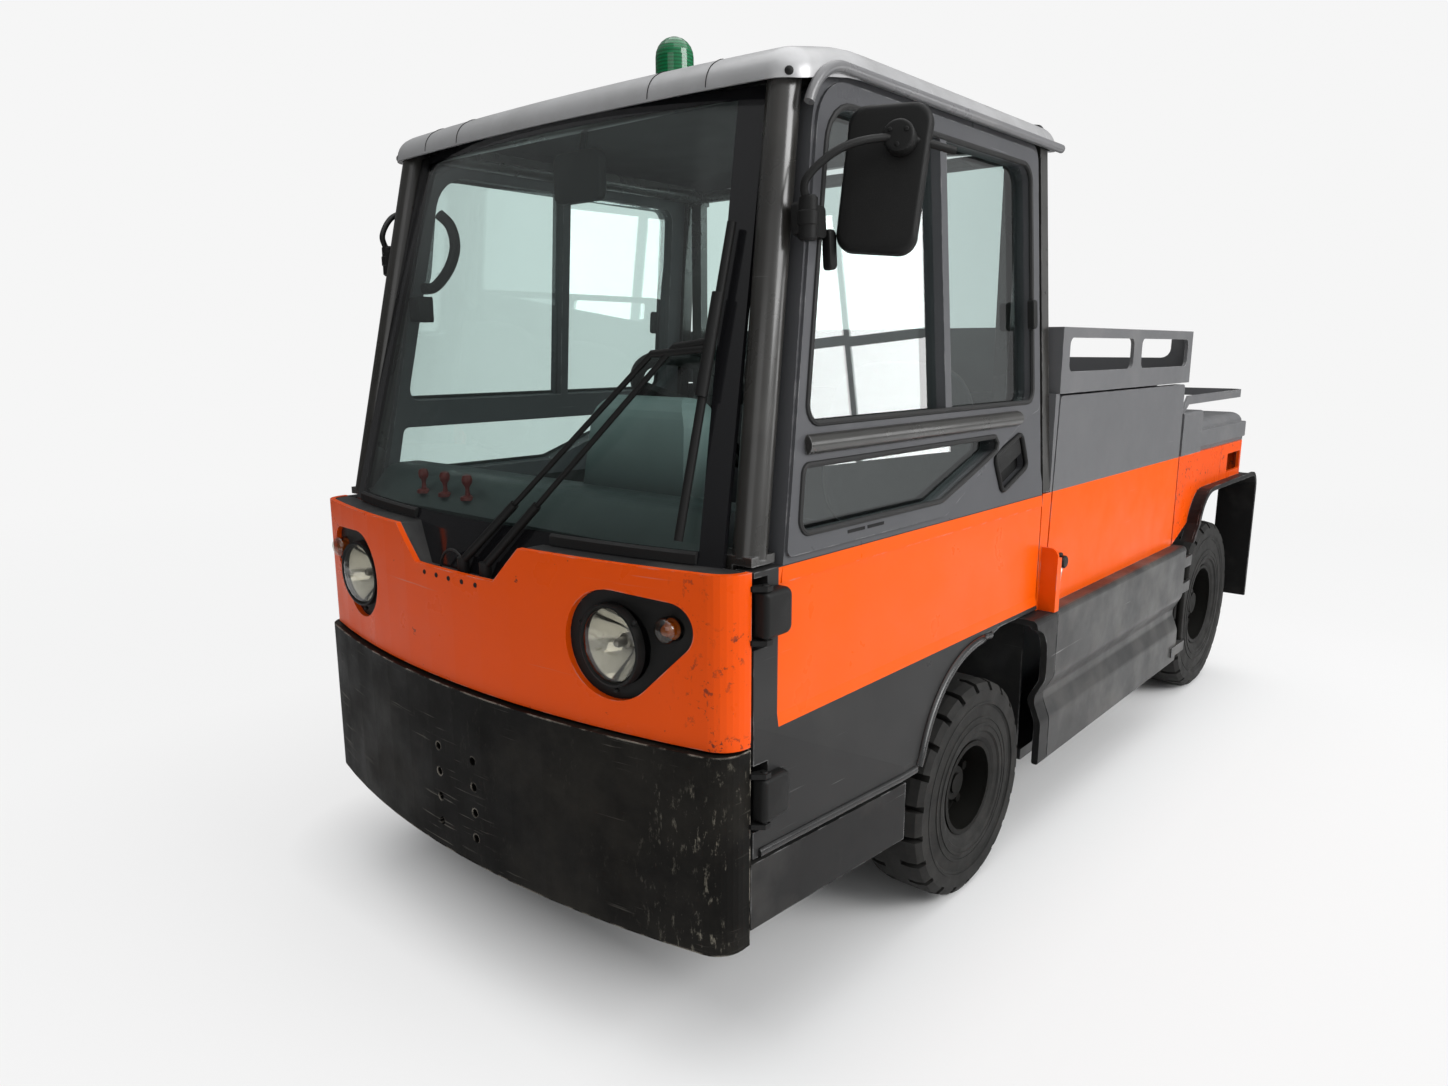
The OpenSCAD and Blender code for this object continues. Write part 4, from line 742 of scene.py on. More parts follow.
# Door trim: seals, beads, catches, grips and drain slots on both doors
EDGE_F = DOOR_F + 0.072
EDGE_TOP = FRONT_Y + 0.276 + 0.118


def edge_y(h):
    return EDGE_F + (EDGE_TOP - EDGE_F) * h / TOP_LEN


# Panes: heights up the slope from the belt, and distances in from the door's edges
UPPER_FOOT = 0.232
UPPER_HEAD = TOP_LEN - 0.06
LOWER_FOOT = 0.044
LOWER_HEAD = 0.166
PANE_FRONT = 0.034
PANE_REAR = 0.062
SEAL_IN = 0.002


def upper_window():
    """Line of the upper pane's seal, a little inside the pane's edge."""
    foot = UPPER_FOOT + SEAL_IN
    head = UPPER_HEAD - SEAL_IN
    front = PANE_FRONT + SEAL_IN
    rear = DOOR_R - PANE_REAR - SEAL_IN
    corners = [
        (edge_y(UPPER_FOOT) + front, foot),
        (rear, foot),
        (rear, head),
        (edge_y(UPPER_HEAD) + front, head),
    ]
    return rounded(corners, (0.03, 0.03, 0.04, 0.09))


def lower_window():
    """The same for the lower pane, whose rear edge slopes."""
    corners = [
        (edge_y(LOWER_FOOT) + PANE_FRONT + 2 * SEAL_IN, LOWER_FOOT + SEAL_IN),
        (DOOR_F + 0.622 - SEAL_IN / 2, LOWER_FOOT + SEAL_IN),
        (DOOR_R - 0.16 - SEAL_IN, LOWER_HEAD - SEAL_IN),
        (edge_y(LOWER_HEAD) + PANE_FRONT + SEAL_IN, LOWER_HEAD - SEAL_IN),
    ]
    return rounded(corners, (0.024, 0.06, 0.018, 0.018))


# Corners of the grip pocket: y from the door's rear edge, height up the slope
GRIP = ((-0.231, 0.032), (-0.095, 0.080), (-0.124, 0.162), (-0.268, 0.117))
GRIP_BAR = ((0.06, 0.46), (0.95, 0.46), (0.95, 0.93), (0.06, 0.93))
GRIP_SQUARE = ((0, 0), (1, 0), (1, 1), (0, 1))
CATCHES = ((edge_y(0.53) + 0.062, 0.53), (DOOR_R - 0.075, 0.44))
CATCH_SHAPE = oblong(0.011, 0.034, 0.007)
SEAL_R = 0.006
BEAD_R = 0.0105
BEAD_ARC = (156, 81)
BEAD_AT = ARCH_R + 0.005
STRIP_R = 0.009
STRIP_UP = 0.008
GRIP_RING_R = 0.0062
STRIP_F = DOOR_F + 0.014
STRIP_B = F_AXLE.y - ARCH_R + 0.03
SLOTS = ((-1.262, -1.205), (-1.195, -1.138))
SLOT_H = 0.031
SLOT_LINE = ((-0.0015, -0.003), (0.0015, -0.003), (0.0015, 0.003), (-0.0015, 0.003))


def grip_at(u, v):
    """A point of the grip pocket, u along its foot and v up its sides."""
    foot_l, foot_r, head_r, head_l = (Vector(corner) for corner in GRIP)
    spot = foot_l.lerp(foot_r, u).lerp(head_l.lerp(head_r, u), v)
    return DOOR_R + spot.x, spot.y


for side_name, side in SIDES:
    body = "door_" + side_name
    seals = Build()
    for outline in (upper_window(), lower_window()):
        path = [lean(side, 0.005, y, h) for y, h in outline]
        seals.tube(path, SEAL_R, 8, True)
    seals.done("window_seals_" + side_name, M_RUBBER, body, "black_plastic")

    bead = Build()
    arc = []
    for degrees in even(*BEAD_ARC, 32):
        a = math.radians(degrees)
        y = F_AXLE.y + BEAD_AT * math.cos(a)
        z = F_AXLE.z + BEAD_AT * math.sin(a)
        skin = hit(body, (side * FAR_OUT, y, z), (-side, 0, 0))
        if skin:
            arc.append(Vector((skin.x, y, z)))
    bead.tube(arc, BEAD_R, 10)
    bead.done("arch_bead_" + side_name, M_BEAD, body, "black_plastic")

    strip = Build()
    foot = []
    for y in even(STRIP_F, STRIP_B, 8):
        skin = hit(body, (side * FAR_OUT, y, DOOR_Z + STRIP_UP), (-side, 0, 0))
        if skin:
            foot.append(Vector((skin.x - side * 0.001, y, DOOR_Z + STRIP_UP)))
    strip.tube(foot, STRIP_R, 10)
    strip.done("door_foot_strip_" + side_name, M_BEAD, body, "black_plastic")

    catches = Build()
    for y, h in CATCHES:
        catches.pad(CATCH_SHAPE, 0.016, 0.005, lambda a, b, d: lean(side, 0.004 + d, y + a, h + b))
    catches.done("pane_catches_" + side_name, M_PLASTIC, body, "black_plastic")

    grip = Build()
    pocket = rounded([grip_at(u, v) for u, v in GRIP_SQUARE], 0.016, 5)
    grip.tube([lean(side, 0.002, y, h) for y, h in pocket], GRIP_RING_R, 10, True)
    bar = rounded([grip_at(u, v) for u, v in GRIP_BAR], 0.008, 4)
    grip.pad(bar, 0.011, 0.005, lambda a, b, d: lean(side, -0.010 + d, a, b))
    grip.done("grip_frame_" + side_name, M_PLASTIC, body, "black_plastic")
    # A near-black plate at the bottom of the grip pocket: painted shade in the recess
    pocket_shade = Build()
    pocket_shade.slab(pocket, 0.002, lambda a, b, d: lean(side, -0.0215 + d, a, b))
    pocket_shade.done("grip_pocket_shade_" + side_name, M_HOLE_SHADE_AND_SEAM, body, "black_plastic", False)

    # Drain slots as thin near-black strips on the door: painted shade inside the slots
    slots = Build()
    for first, last in SLOTS:
        slots.sweep([lean(side, 0.0055, y, SLOT_H) for y in even(first, last, 4)], SLOT_LINE)
    slots.done("drain_slots_" + side_name, M_HOLE_SHADE_AND_SEAM, body, "black_paint")

# Door hinges: moulded covers on the doors between slim fixed leaves
PIN_X = HALF_W + 0.014
PIN_Y = DOOR_F + 0.014
COVER_HALF = 0.041
LEAF_H = 0.009
LEAF = [(HALF_W - 0.002, DOOR_F - 0.009), (HALF_W + 0.004, DOOR_F - 0.009), (PIN_X + 0.009, PIN_Y - 0.007)]
LEAF += [(PIN_X + 0.009, PIN_Y + 0.008), (PIN_X - 0.008, PIN_Y + 0.008), (HALF_W - 0.002, DOOR_F + 0.004)]
PIN_LINE = ((0, -0.002), (0.005, -0.002), (0.007, 0), (0.007, 0.009), (0.005, 0.011), (0, 0.011))
COVER_REAR = DOOR_F + 0.076
COVER_FRONT = PIN_Y - 0.011
COVER_FACE = [(COVER_FRONT, -COVER_HALF), (COVER_REAR, -COVER_HALF)]
COVER_FACE += [(COVER_REAR, COVER_HALF), (COVER_FRONT, COVER_HALF)]
HINGE_ZS = (DOOR_Z + 0.112, BELT_Z - 0.072)
for side_name, side in SIDES:
    covers = Build()
    leaves = Build()
    for mid in HINGE_ZS:
        outline = rounded(COVER_FACE, (0.006, 0.014, 0.014, 0.006), 6)
        covers.pad(outline, 0.027, 0.011, lambda a, b, d: Vector((side * (HALF_W - 0.001 + d), a, mid + b)))
        for low in (mid - COVER_HALF - LEAF_H - 0.001, mid + COVER_HALF + 0.001):
            leaves.slab(LEAF, LEAF_H, lambda a, b, d: Vector((side * a, b, low + d)))
            leaves.lathe(PIN_LINE, (side * PIN_X, PIN_Y, low), "Z", 16)
    cover_piece = covers.done("hinge_covers_" + side_name, M_PLASTIC, "door_" + side_name, "black_plastic")
    leaf_piece = leaves.done("hinge_leaves_" + side_name, M_PLASTIC, "tractor", "black_plastic")
    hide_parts("door_" + side_name + "_hinges")
    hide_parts("hinge_pins")

# Row of small holes under the notch of the nose, drawn as near-black plugs: painted shade inside the holes
HOLES = 5
HOLE_XS = even(-0.095, 0.08, HOLES - 1)
HOLES_Z = 0.862
HOLE_LINE = ((0, -0.0004), (0.0032, -0.0004), (0.0045, -0.0012), (0.0052, -0.0002))
HOLE_LINE += ((0.0052, 0.003), (0, 0.003))
dots = Build()
for x in HOLE_XS:
    dots.lathe(HOLE_LINE, (x, nose_y(x, HOLES_Z), HOLES_Z), "Y", 14)
dots.done("nose_holes", M_HOLE_SHADE_AND_SEAM, "tractor", "black_paint")

# Indicators: amber bulb behind a clear lens
IND_LOW, IND_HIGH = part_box("indicators")
IND_R = (IND_HIGH.z - IND_LOW.z) / 2
IND_Z = (IND_LOW.z + IND_HIGH.z) / 2
IND_X = IND_HIGH.x - IND_R
IND_DOME = 0.014
for side_name, side in SIDES:
    centre = (side * IND_X, IND_LOW.y + IND_DOME, IND_Z)
    cover = Build()
    dome = [(IND_R * math.sin(t), -IND_DOME * math.cos(t)) for t in even(0, math.pi / 2, 8)]
    lens_line = dome + [(IND_R, 0.02)] + [(r * 0.92, d + 0.003) for r, d in reversed(dome)]
    cover.lathe(lens_line, centre, "Y", 32)
    lens_piece = cover.done("indicator_lens_" + side_name, M_LAMP, "tractor", "lamp_glass")
    amber = Build()
    amber_line = [(0.0, -0.004), (0.008, -0.002), (0.012, 0.004), (0.013, 0.016)]
    amber_line += [(IND_R - 0.004, 0.018), (0.0, 0.03)]
    amber.lathe(amber_line, centre, "Y", 24)
    bulb_piece = amber.done("indicator_bulb_" + side_name, M_AMBER, "tractor", "amber_lens")
    for new in (lens_piece, bulb_piece):
        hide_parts("indicators")

# Seats: crowned cushions and backs with sewn channels
SEAT_LOW, SEAT_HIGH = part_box("seats")
SEAT_W = 0.44
SEAT_X = SEAT_HIGH.x - SEAT_W / 2
DECK_Z = SEAT_LOW.z
SEAT_BASE = (SEAT_W, 0.58, 0.105)
SEAT_REST = (SEAT_W, 0.47, 0.1)
BASE_SLOPE = 0.03
CHANNEL = 0.008
REST_LEAN = 7.4
REST_TURN = Matrix.Rotation(math.radians(90 - REST_LEAN), 3, "X")


def cushion(build, size, place, crown=0.02, channels=3, power=3.2, rows=28, columns=40):
    """A closed pillow shape with stitched channels across its top."""
    half_w, half_l, half_h = (length / 2 for length in size)
    lines = []
    for v in even(-math.pi / 2, math.pi / 2, rows):
        line = []
        for k in range(columns):
            a = 2 * math.pi * k / columns
            ca, sa = math.cos(a), math.sin(a)
            ring = math.copysign(abs(math.cos(v)) ** (2 / power), math.cos(v))
            x = half_w * ring * math.copysign(abs(ca) ** (2 / power), ca)
            y = half_l * ring * math.copysign(abs(sa) ** (2 / power), sa)
            z = half_h * math.copysign(abs(math.sin(v)) ** (2 / power), math.sin(v))
            if z > 0:
                inside = max(0.0, 1 - (x / half_w) ** 2) * max(0.0, 1 - (y / half_l) ** 2)
                z += crown * inside
                groove = abs(math.sin(math.pi * channels * (y / half_l + 1) / 2))
                z -= CHANNEL * inside * (1 - min(1.0, groove * 5))
            line.append(place(x, y, z))
        lines.append(line)
    build.grid(lines)


for side_name, side in SIDES:
    base = Build()
    base_at = Vector((side * SEAT_X, BOX_F - 0.355, DECK_Z + 0.058))
    cushion(base, SEAT_BASE, lambda x, y, z: base_at + Vector((x, y, z - BASE_SLOPE * y)))
    base_piece = base.done("seat_cushion_" + side_name, M_FABRIC, "tractor", "seat_fabric")
    rest = Build()
    rest_at = Vector((side * SEAT_X, BOX_F - 0.108, DECK_Z + 0.36))
    cushion(rest, SEAT_REST, lambda x, y, z: rest_at + REST_TURN @ Vector((x, y, z)))
    rest_piece = rest.done("seat_back_" + side_name, M_FABRIC, "tractor", "seat_fabric")
    for new in (base_piece, rest_piece):
        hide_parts("seats")

# Cab interior: grab handle, mirror and levers
GRAB_X = -0.49
GRAB_FOOT = Vector((GRAB_X, -1.375, 1.40))
GRAB_KNOTS = ((-1.33, 1.625), (-1.3, 1.6), (-1.29, 1.553), (-1.31, 1.5), (-1.352, 1.455), (-1.385, 1.45))
grab = Build()
grab.tube(smooth([(GRAB_X, y, z) for y, z in GRAB_KNOTS]), 0.013, 12)
box_shape = oblong(0.022, 0.03, 0.006)
grab.pad(box_shape, 0.04, 0.006, lambda a, b, d: GRAB_FOOT + Vector((a, -d, b)))
grab.done("grab_handle", M_PLASTIC, "tractor", "black_plastic")

CAB_MIRROR_X = -0.005
CAB_MIRROR_AT = Vector((CAB_MIRROR_X, -1.3, 1.662))
CAB_MIRROR_ARM = ((-1.3, 1.70), (-1.29, 1.745), (-1.285, 1.80))
plate = Build()
plate_shape = oblong(0.075, 0.052, 0.02, 6)
plate.pad(plate_shape, 0.016, 0.005, lambda a, b, d: CAB_MIRROR_AT + Vector((a, -d, b)))
plate.tube([Vector((CAB_MIRROR_X, y, z)) for y, z in CAB_MIRROR_ARM], 0.008, 8)
plate.done("cab_mirror", M_PLASTIC, "tractor", "black_plastic")

LEVER_LINE = ((0, 0.054), (0.009, 0.051), (0.012, 0.043), (0.011, 0.034), (0.006, 0.027), (0.0045, 0.02))
LEVER_LINE += ((0.006, 0.008), (0.016, 0.004), (0.017, -0.003), (0, -0.003))
LEVER_XS = (-0.34, -0.255, -0.17)
levers = Build()
for x in LEVER_XS:
    top = hit("dashboard", (x, DOOR_F + 0.02, 1.4), (0, 0, -1))
    levers.lathe(LEVER_LINE, top, "Z", 16)
levers.done("dash_levers", M_SWITCH, "tractor", "black_plastic")

# Mirrors: clamp, bent arm, ball cap, moulded shell and silvered glass
MIRROR_BASE = 0.573
MIRROR_HEAD = Vector((0.057, 0.136, 0.073))
STUDS_R = 0.016
STUD_TURNS = (0.5, 2.6, 4.7)
MIRROR_TURN = Matrix.Rotation(math.radians(20), 3, "Z") @ Matrix.Rotation(math.radians(-8), 3, "X")
MIRROR_PLATE = [(-0.078, -0.120), (0.060, -0.132), (0.082, 0.122), (-0.064, 0.124)]
ARM_POINTS = ((0, 0, 0.02), (0.004, -0.012, 0.06), (0.042, 0.043, 0.113))
ARM_POINTS += ((0.092, 0.128, 0.132), (0.147, 0.217, 0.117))
BARREL = ((0.0, -0.036), (0.012, -0.036), (0.016, -0.032), (0.016, -0.012), (0.018, -0.010), (0.018, 0.010))
BARREL += ((0.016, 0.012), (0.016, 0.032), (0.012, 0.036), (0.0, 0.036))
for side_name, side in SIDES:
    clamp = Vector((HALF_W - 0.012, edge_y(MIRROR_BASE) - 0.032, BELT_Z + MIRROR_BASE))
    head = clamp + MIRROR_HEAD
    knob = clamp + Vector(ARM_POINTS[3])

    def sided(v):
        return Vector((side * v.x, v.y, v.z))

    def on_plate(a, b, d, start, centre=head):
        """A point on the mirror plate, d behind its start along the plate's depth."""
        return sided(centre + MIRROR_TURN @ Vector((a, start + d, b)))

    arm = Build()
    foot = rounded([(-0.014, -0.027), (0.066, -0.027), (0.066, 0.027), (-0.014, 0.027)], 0.008, 4)
    arm.pad(foot, 0.016, 0.005, lambda a, b, d: lean(side, 0.0062 + d, clamp.y + a, MIRROR_BASE + b))
    arm.lathe(BARREL, sided(clamp), "Z", 20)
    arm.tube([sided(clamp + p) for p in smooth(ARM_POINTS)], 0.0068, 12)
    arm.pad(circle(0.027, 32), 0.032, 0.006, lambda a, b, d: on_plate(a, b, -d, 0.014, knob))
    for turn in STUD_TURNS:
        a0, b0 = STUDS_R * math.cos(turn), STUDS_R * math.sin(turn)
        stud = [(a0 + a, b0 + b) for a, b in circle(0.004, 12)]
        arm.pad(stud, 0.003, 0.002, lambda a, b, d: on_plate(a, b, -d, -0.0175, knob))
    arm_piece = arm.done("mirror_arm_" + side_name, M_PLASTIC, "door_" + side_name, "black_plastic")
    case = Build()
    outer = rounded(MIRROR_PLATE, (0.03, 0.03, 0.034, 0.034), 8)
    case.pad(outer, 0.024, 0.013, lambda a, b, d: on_plate(a, b, -d, 0.013))
    case_piece = case.done("mirror_shell_" + side_name, M_PLASTIC, "door_" + side_name, "black_plastic")
    inner = rounded([(a * 0.9, b * 0.92) for a, b in MIRROR_PLATE], 0.03, 6)
    glass = Build()
    glass.slab(inner, 0.0015, lambda a, b, d: on_plate(a, b, d, 0.0125))
    glass_piece = glass.done("mirror_glass_" + side_name, M_MIRROR, "door_" + side_name, "clear_glass")
    for new in (arm_piece, case_piece, glass_piece):
        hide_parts("mirror_" + side_name)

# Ribs on the sidewalls of the tyres
RIB_SHARES = (0.60, 0.66, 0.80)
RIB_FOOT = 0.004
RIB_TOP = 0.0025
RIB_H = 0.002
WHEELS = [(end, side_name, side) for end in ("front", "rear") for side_name, side in SIDES]
for end, side_name, side in WHEELS:
    tyre = end + "_tyre_" + side_name
    low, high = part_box(tyre)
    centre = (low + high) / 2
    radius = (high.z - low.z) / 2
    ribs = Build()
    for share in RIB_SHARES:
        r = radius * share
        wall = hit(tyre, (side * FAR_OUT, centre.y, centre.z + r), (-side, 0, 0))
        if wall is None:
            continue
        out = wall.x - centre.x
        sunk = out - side * RIB_H
        proud = out + side * RIB_H
        line = [(r - RIB_FOOT, sunk), (r - RIB_TOP, proud), (r + RIB_TOP, proud), (r + RIB_FOOT, sunk)]
        ribs.lathe(line + line[:1], centre, "X", 72)
    ribs.done("tyre_ribs_" + end + "_" + side_name, M_TYRE, end + "_wheel_" + side_name, "tyre_rubber")

# Roof: one rounded shell with a dark lining, gutter rails, corner seams and screws
ROOF_W = 0.610
ROOF_FRONT = -1.412
ROOF_BOW = 6.0
ROOF_REAR = ROOF_HIGH.y - 0.008
ROOF_ROUND = 0.052
ROOF_EDGE_Z = BELT_Z + TOP_H - 0.038
ROOF_RISE = 0.2
ROOF_FLAT = 0.54
ROOF_STEP = 0.05
ROOF_CROWN = 0.034
ROOF_SOFT = 0.012
ROOF_T = 0.012
SPINE_IN = 0.45
RIM_RINGS = 10
TOP_RINGS = 14
GUTTER_X = 0.612
GUTTER_Y = ROOF_FRONT + 0.1765
GUTTER_Z = BELT_Z + TOP_H - 0.115
GUTTER_R = 0.110
GUTTER_ARC = (160, 90)
GUTTER_OVAL = [(0.010 * math.cos(k * math.pi / 8), 0.009 * math.sin(k * math.pi / 8)) for k in range(16)]
SCREW_AIM = (0.56, -1.327, 1.772)
SCREW_LINE = ((0.0001, 0.004), (0.004, 0.0036), (0.0075, 0.001), (0.008, -0.003))
SCREW_SIDES = 14
SEAM_XS = (0.30, 0.44)
SEAM_R = 0.0008
SEAM_Y = -1.2
SEAM_OUT = Vector((0, -0.0004, 0.0004))
LINING_DROP = 0.014


def roof_front(x):
    return ROOF_FRONT + x * x / (2 * ROOF_BOW)


def roof_top(x, y):
    """Height of the roof before its edge is rounded: a slope at the front, then the crown."""
    slope = ROOF_EDGE_Z + ROOF_ROUND + ROOF_RISE * max(0.0, y - roof_front(x) - 0.03)
    crown = ROOF_HIGH.z - ROOF_CROWN * (x / ROOF_W) ** 2
    gap = max(0.0, ROOF_SOFT - abs(slope - crown)) / ROOF_SOFT
    return min(slope, crown) - gap * gap * ROOF_SOFT / 4


def roof_outline():
    """The edge of the roof from above, in steps of at most ROOF_STEP."""
    front_xs = [ROOF_FLAT * i / 20 for i in range(-20, 21)]
    front = [(x, roof_front(x)) for x in front_xs]
    corner_y = roof_front(ROOF_W)
    corners = [(ROOF_W, corner_y), (ROOF_W, ROOF_REAR), (-ROOF_W, ROOF_REAR), (-ROOF_W, corner_y)]
    radii = [0] * len(front) + [0.06, 0.03, 0.03, 0.06]
    line = rounded(front + corners, radii, 8)
    dense = []
    for i, p in enumerate(line):
        q = line[(i + 1) % len(line)]
        parts = max(1, int((q - p).length / ROOF_STEP))
        dense += [p.lerp(q, k / parts) for k in range(parts)]
    return dense


def roof_rings(inset, drop, round_r):
    """Rings from the lower edge over the rounded rim to the spine."""
    line = roof_outline()
    count = len(line)
    inward = []
    for i in range(count):
        along = (line[(i + 1) % count] - line[i - 1]).normalized()
        inward.append(Vector((-along.y, along.x)))
    rings = []
    for t in even(0, math.pi / 2, RIM_RINGS):
        row = []
        for p, n in zip(line, inward):
            spot = p + n * (inset + round_r * (1 - math.cos(t)))
            z = roof_top(spot.x, spot.y) - drop - round_r * (1 - math.sin(t))
            row.append(Vector((spot.x, spot.y, z)))
        rings.append(row)
    rim = rings[-1]
    for t in even(0, 1, TOP_RINGS)[1:]:
        row = []
        for p in rim:
            spine_y = min(max(p.y, ROOF_FRONT + SPINE_IN), ROOF_REAR - SPINE_IN)
            x = p.x * (1 - t)
            y = p.y + (spine_y - p.y) * t
            row.append(Vector((x, y, roof_top(x, y) - drop)))
        rings.append(row)
    return rings


shell_rings = roof_rings(0.0, 0.0, ROOF_ROUND)
lining_rings = roof_rings(ROOF_T, LINING_DROP, ROOF_ROUND - ROOF_T)
rim_low = [p - Vector((0, 0, 0.004)) for p in shell_rings[0]]
shell = Build()
shell.grid([lining_rings[0], rim_low] + shell_rings)
shell_piece = shell.done("roof_shell", M_ROOF, "tractor", "silver_paint")
lining = Build()
lining.grid(lining_rings)
lining_piece = lining.done("roof_lining", M_LINING, "tractor", "black_plastic")
gutter = Build()
for side in (1, -1):
    line = []
    for degrees in even(*GUTTER_ARC, 14):
        a = math.radians(degrees)
        line.append((GUTTER_Y + GUTTER_R * math.cos(a), GUTTER_Z + GUTTER_R * math.sin(a)))
    line += [(y, GUTTER_Z + GUTTER_R) for y in even(GUTTER_Y, ROOF_HIGH.y, 8)[1:]]
    gutter.sweep([Vector((side * GUTTER_X, y, z)) for y, z in line], GUTTER_OVAL)
gutter_piece = gutter.done("roof_gutters", M_GUTTER, "tractor", "black_paint")
on_shell = BVHTree.FromPolygons(shell.verts, shell.faces)
screws = Build()
seams = Build()
for side in (1, -1):
    flip = Vector((side, 1, 1))
    eye = Vector(CAMERA_AT) * flip
    spot, normal = on_shell.ray_cast(eye, (Vector(SCREW_AIM) * flip - eye).normalized())[:2]
    if normal.y > 0:
        normal = -normal
    across = normal.cross(Vector((1, 0, 0))).normalized()
    up = normal.cross(across)
    rows = []
    for r, h in SCREW_LINE:
        rows.append([spot + normal * h + across * u + up * v for u, v in circle(r, SCREW_SIDES)])
    screws.grid(rows, caps=True)
    for start in SEAM_XS:
        line = []
        for ring in shell_rings[: RIM_RINGS + 1]:
            row = [p for p in ring if p.y < SEAM_Y and p.x * side > 0]
            line.append(min(row, key=lambda p: abs(p.x * side - start)) + SEAM_OUT)
        seams.tube(line, SEAM_R, 6)
screws.done("roof_screws", M_PLASTIC, "tractor", "black_plastic")
seams.done("roof_seams", M_HOLE_SHADE_AND_SEAM, "tractor", "black_paint")
for new in (shell_piece, lining_piece, gutter_piece):
    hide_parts("roof")

# The strip under the windscreen and the washer hose
STRIP_XS = ((-0.545, -0.225), (0.225, 0.545))
STRIP_LINE = ((-0.004, -0.011), (0.005, -0.009), (0.005, 0.007), (0.001, 0.011), (-0.004, 0.011))
HOSE_D = 0.0056
HOSE_AT = Vector((-0.058, FRONT_Y + 0.044, 0.884))
HOSE_LONG = 0.055
HOSE_WIDE = 0.022
HOSE_HIGH = 0.028
strip = Build()
for first, last in STRIP_XS:
    line = []
    for x in even(first, last, 12):
        spot = hit("windscreen", (x, FRONT_Y - 0.3, BELT_Z + 0.012), (0, 1, 0))
        if spot:
            line.append(spot + Vector((0, -0.002, 0)))
    strip.sweep(line, STRIP_LINE)
strip.done("screen_strip", M_RUBBER, "tractor", "black_plastic")
hose = Build()
loop = []
for t in even(0, 1, 24):
    a = math.pi * (1.15 - 1.5 * t)
    loop.append(HOSE_AT + Vector((HOSE_LONG * t + HOSE_WIDE * math.cos(a), 0, HOSE_HIGH * math.sin(a))))
hose.tube(loop, HOSE_D / 2, 8)
hose_piece = hose.done("washer_hose", M_RUBBER, "tractor", "black_plastic")

# Dark sheets behind the rear edge of the side doors, a painted shade so that no light shows through the gap
SHUT_IN = 0.062
SHUT_T = 0.012
SHUT_SIDE = 0.02
for side_name, side in SIDES:
    gap_shade_sheet = Build()
    panel_low, panel_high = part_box("side_panel_" + side_name)
    near_y = panel_high.y - SHUT_SIDE
    far_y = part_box("rear_body")[0].y + SHUT_SIDE
    foot_z = panel_low.z
    head_z = panel_high.z - SHUT_T
    face = [(near_y, foot_z), (far_y, foot_z), (far_y, head_z), (near_y, head_z)]
    gap_shade_sheet.slab(face, SHUT_T, lambda a, b, d: Vector((side * (HALF_W - SHUT_IN + d), a, b)))
    gap_shade_sheet.done("gap_shade_sheet_" + side_name, M_RUBBER, "tractor", "black_plastic", False)

# Side door latch beside the folded catch plates: a black knob and a steel arm
KNOB_LINE = ((0, 0), (0.013, 0), (0.013, 0.006), (0.017, 0.009), (0.017, 0.018), (0.014, 0.021), (0, 0.022))
LATCH_LINE = ((0.008, 0, -0.010), (0.012, -0.012, -0.020), (0.013, -0.022, -0.042), (0.013, -0.024, -0.058))
for side_name, side in SIDES:
    knob = Build()
    centre = Vector((side * (HALF_W + 0.001), BOX_F + 0.085, LEDGE_Z + 0.11))
    plate = oblong(0.016, 0.022, 0.006)
    knob.pad(plate, 0.006, 0.003, lambda a, b, d: centre + Vector((side * d, a, b)))
    knob.lathe([(r, side * d) for r, d in KNOB_LINE], centre, "X", 24)
    knob.done("side_latch_" + side_name, M_PLASTIC, "side_door_" + side_name, "black_plastic")
    arm = Build()
    arm.tube(smooth([centre + Vector((side * x, y, z)) for x, y, z in LATCH_LINE]), 0.005, 10)
    arm.done("latch_arm_" + side_name, M_STEEL, "side_door_" + side_name, "bare_steel")

# Stage, light and camera
WHITE = 0.921
# Half sizes of the tractor's footprint; beyond it the floor's shadow is whitened with painted light
FOOTPRINT = (0.62, 1.40, 0.0)
FADE_NEAR = 4.0
FADE_FAR = 7.5
SKY_BASE = 0.09
SKY_GLOW = (("X", 0.1, 0.95, 0.6), ("Z", 0.2, 0.95, 0.7))


def stage_floor():
    """A pale floor that fades into the white background away from the tractor, with painted light that
    whitens its shadow beyond the tractor's footprint.
    """
    bpy.ops.mesh.primitive_plane_add(size=40, location=(0, 0, 0))
    floor = bpy.context.object
    floor.name = "floor"
    s = Shade("pale_floor")
    s.set("Base Color", rgba((0.74, 0.74, 0.74)))
    s.gloss(2.0, 0.75, 0.85)
    s.set("Specular IOR Level", 0.1)
    away = s.vector("LENGTH", s.coords)["Value"]
    fade = s.blend(s.span(away, FADE_NEAR, FADE_FAR), s.bsdf, s.clear())
    beyond = s.vector("SUBTRACT", s.vector("ABSOLUTE", s.coords)[0], FOOTPRINT)[0]
    gap = s.vector("LENGTH", s.vector("MAXIMUM", beyond)[0])["Value"]
    # Painted light: to the camera the floor turns whiter with distance from the footprint, washing out the
    # real shadow there
    pale = s.math("ADD", s.span(gap, 0.0, 0.35, 0.0, 0.72), s.span(gap, 0.35, 1.4, 0.0, 0.2))
    seen = s.times(pale, make(s.tree, "LightPath").outputs["Is Camera Ray"])
    paper = make(s.tree, "Emission", ins={"Color": (WHITE, WHITE, WHITE, 1)})
    floor.data.materials.append(s.show(s.blend(seen, fade, paper)))


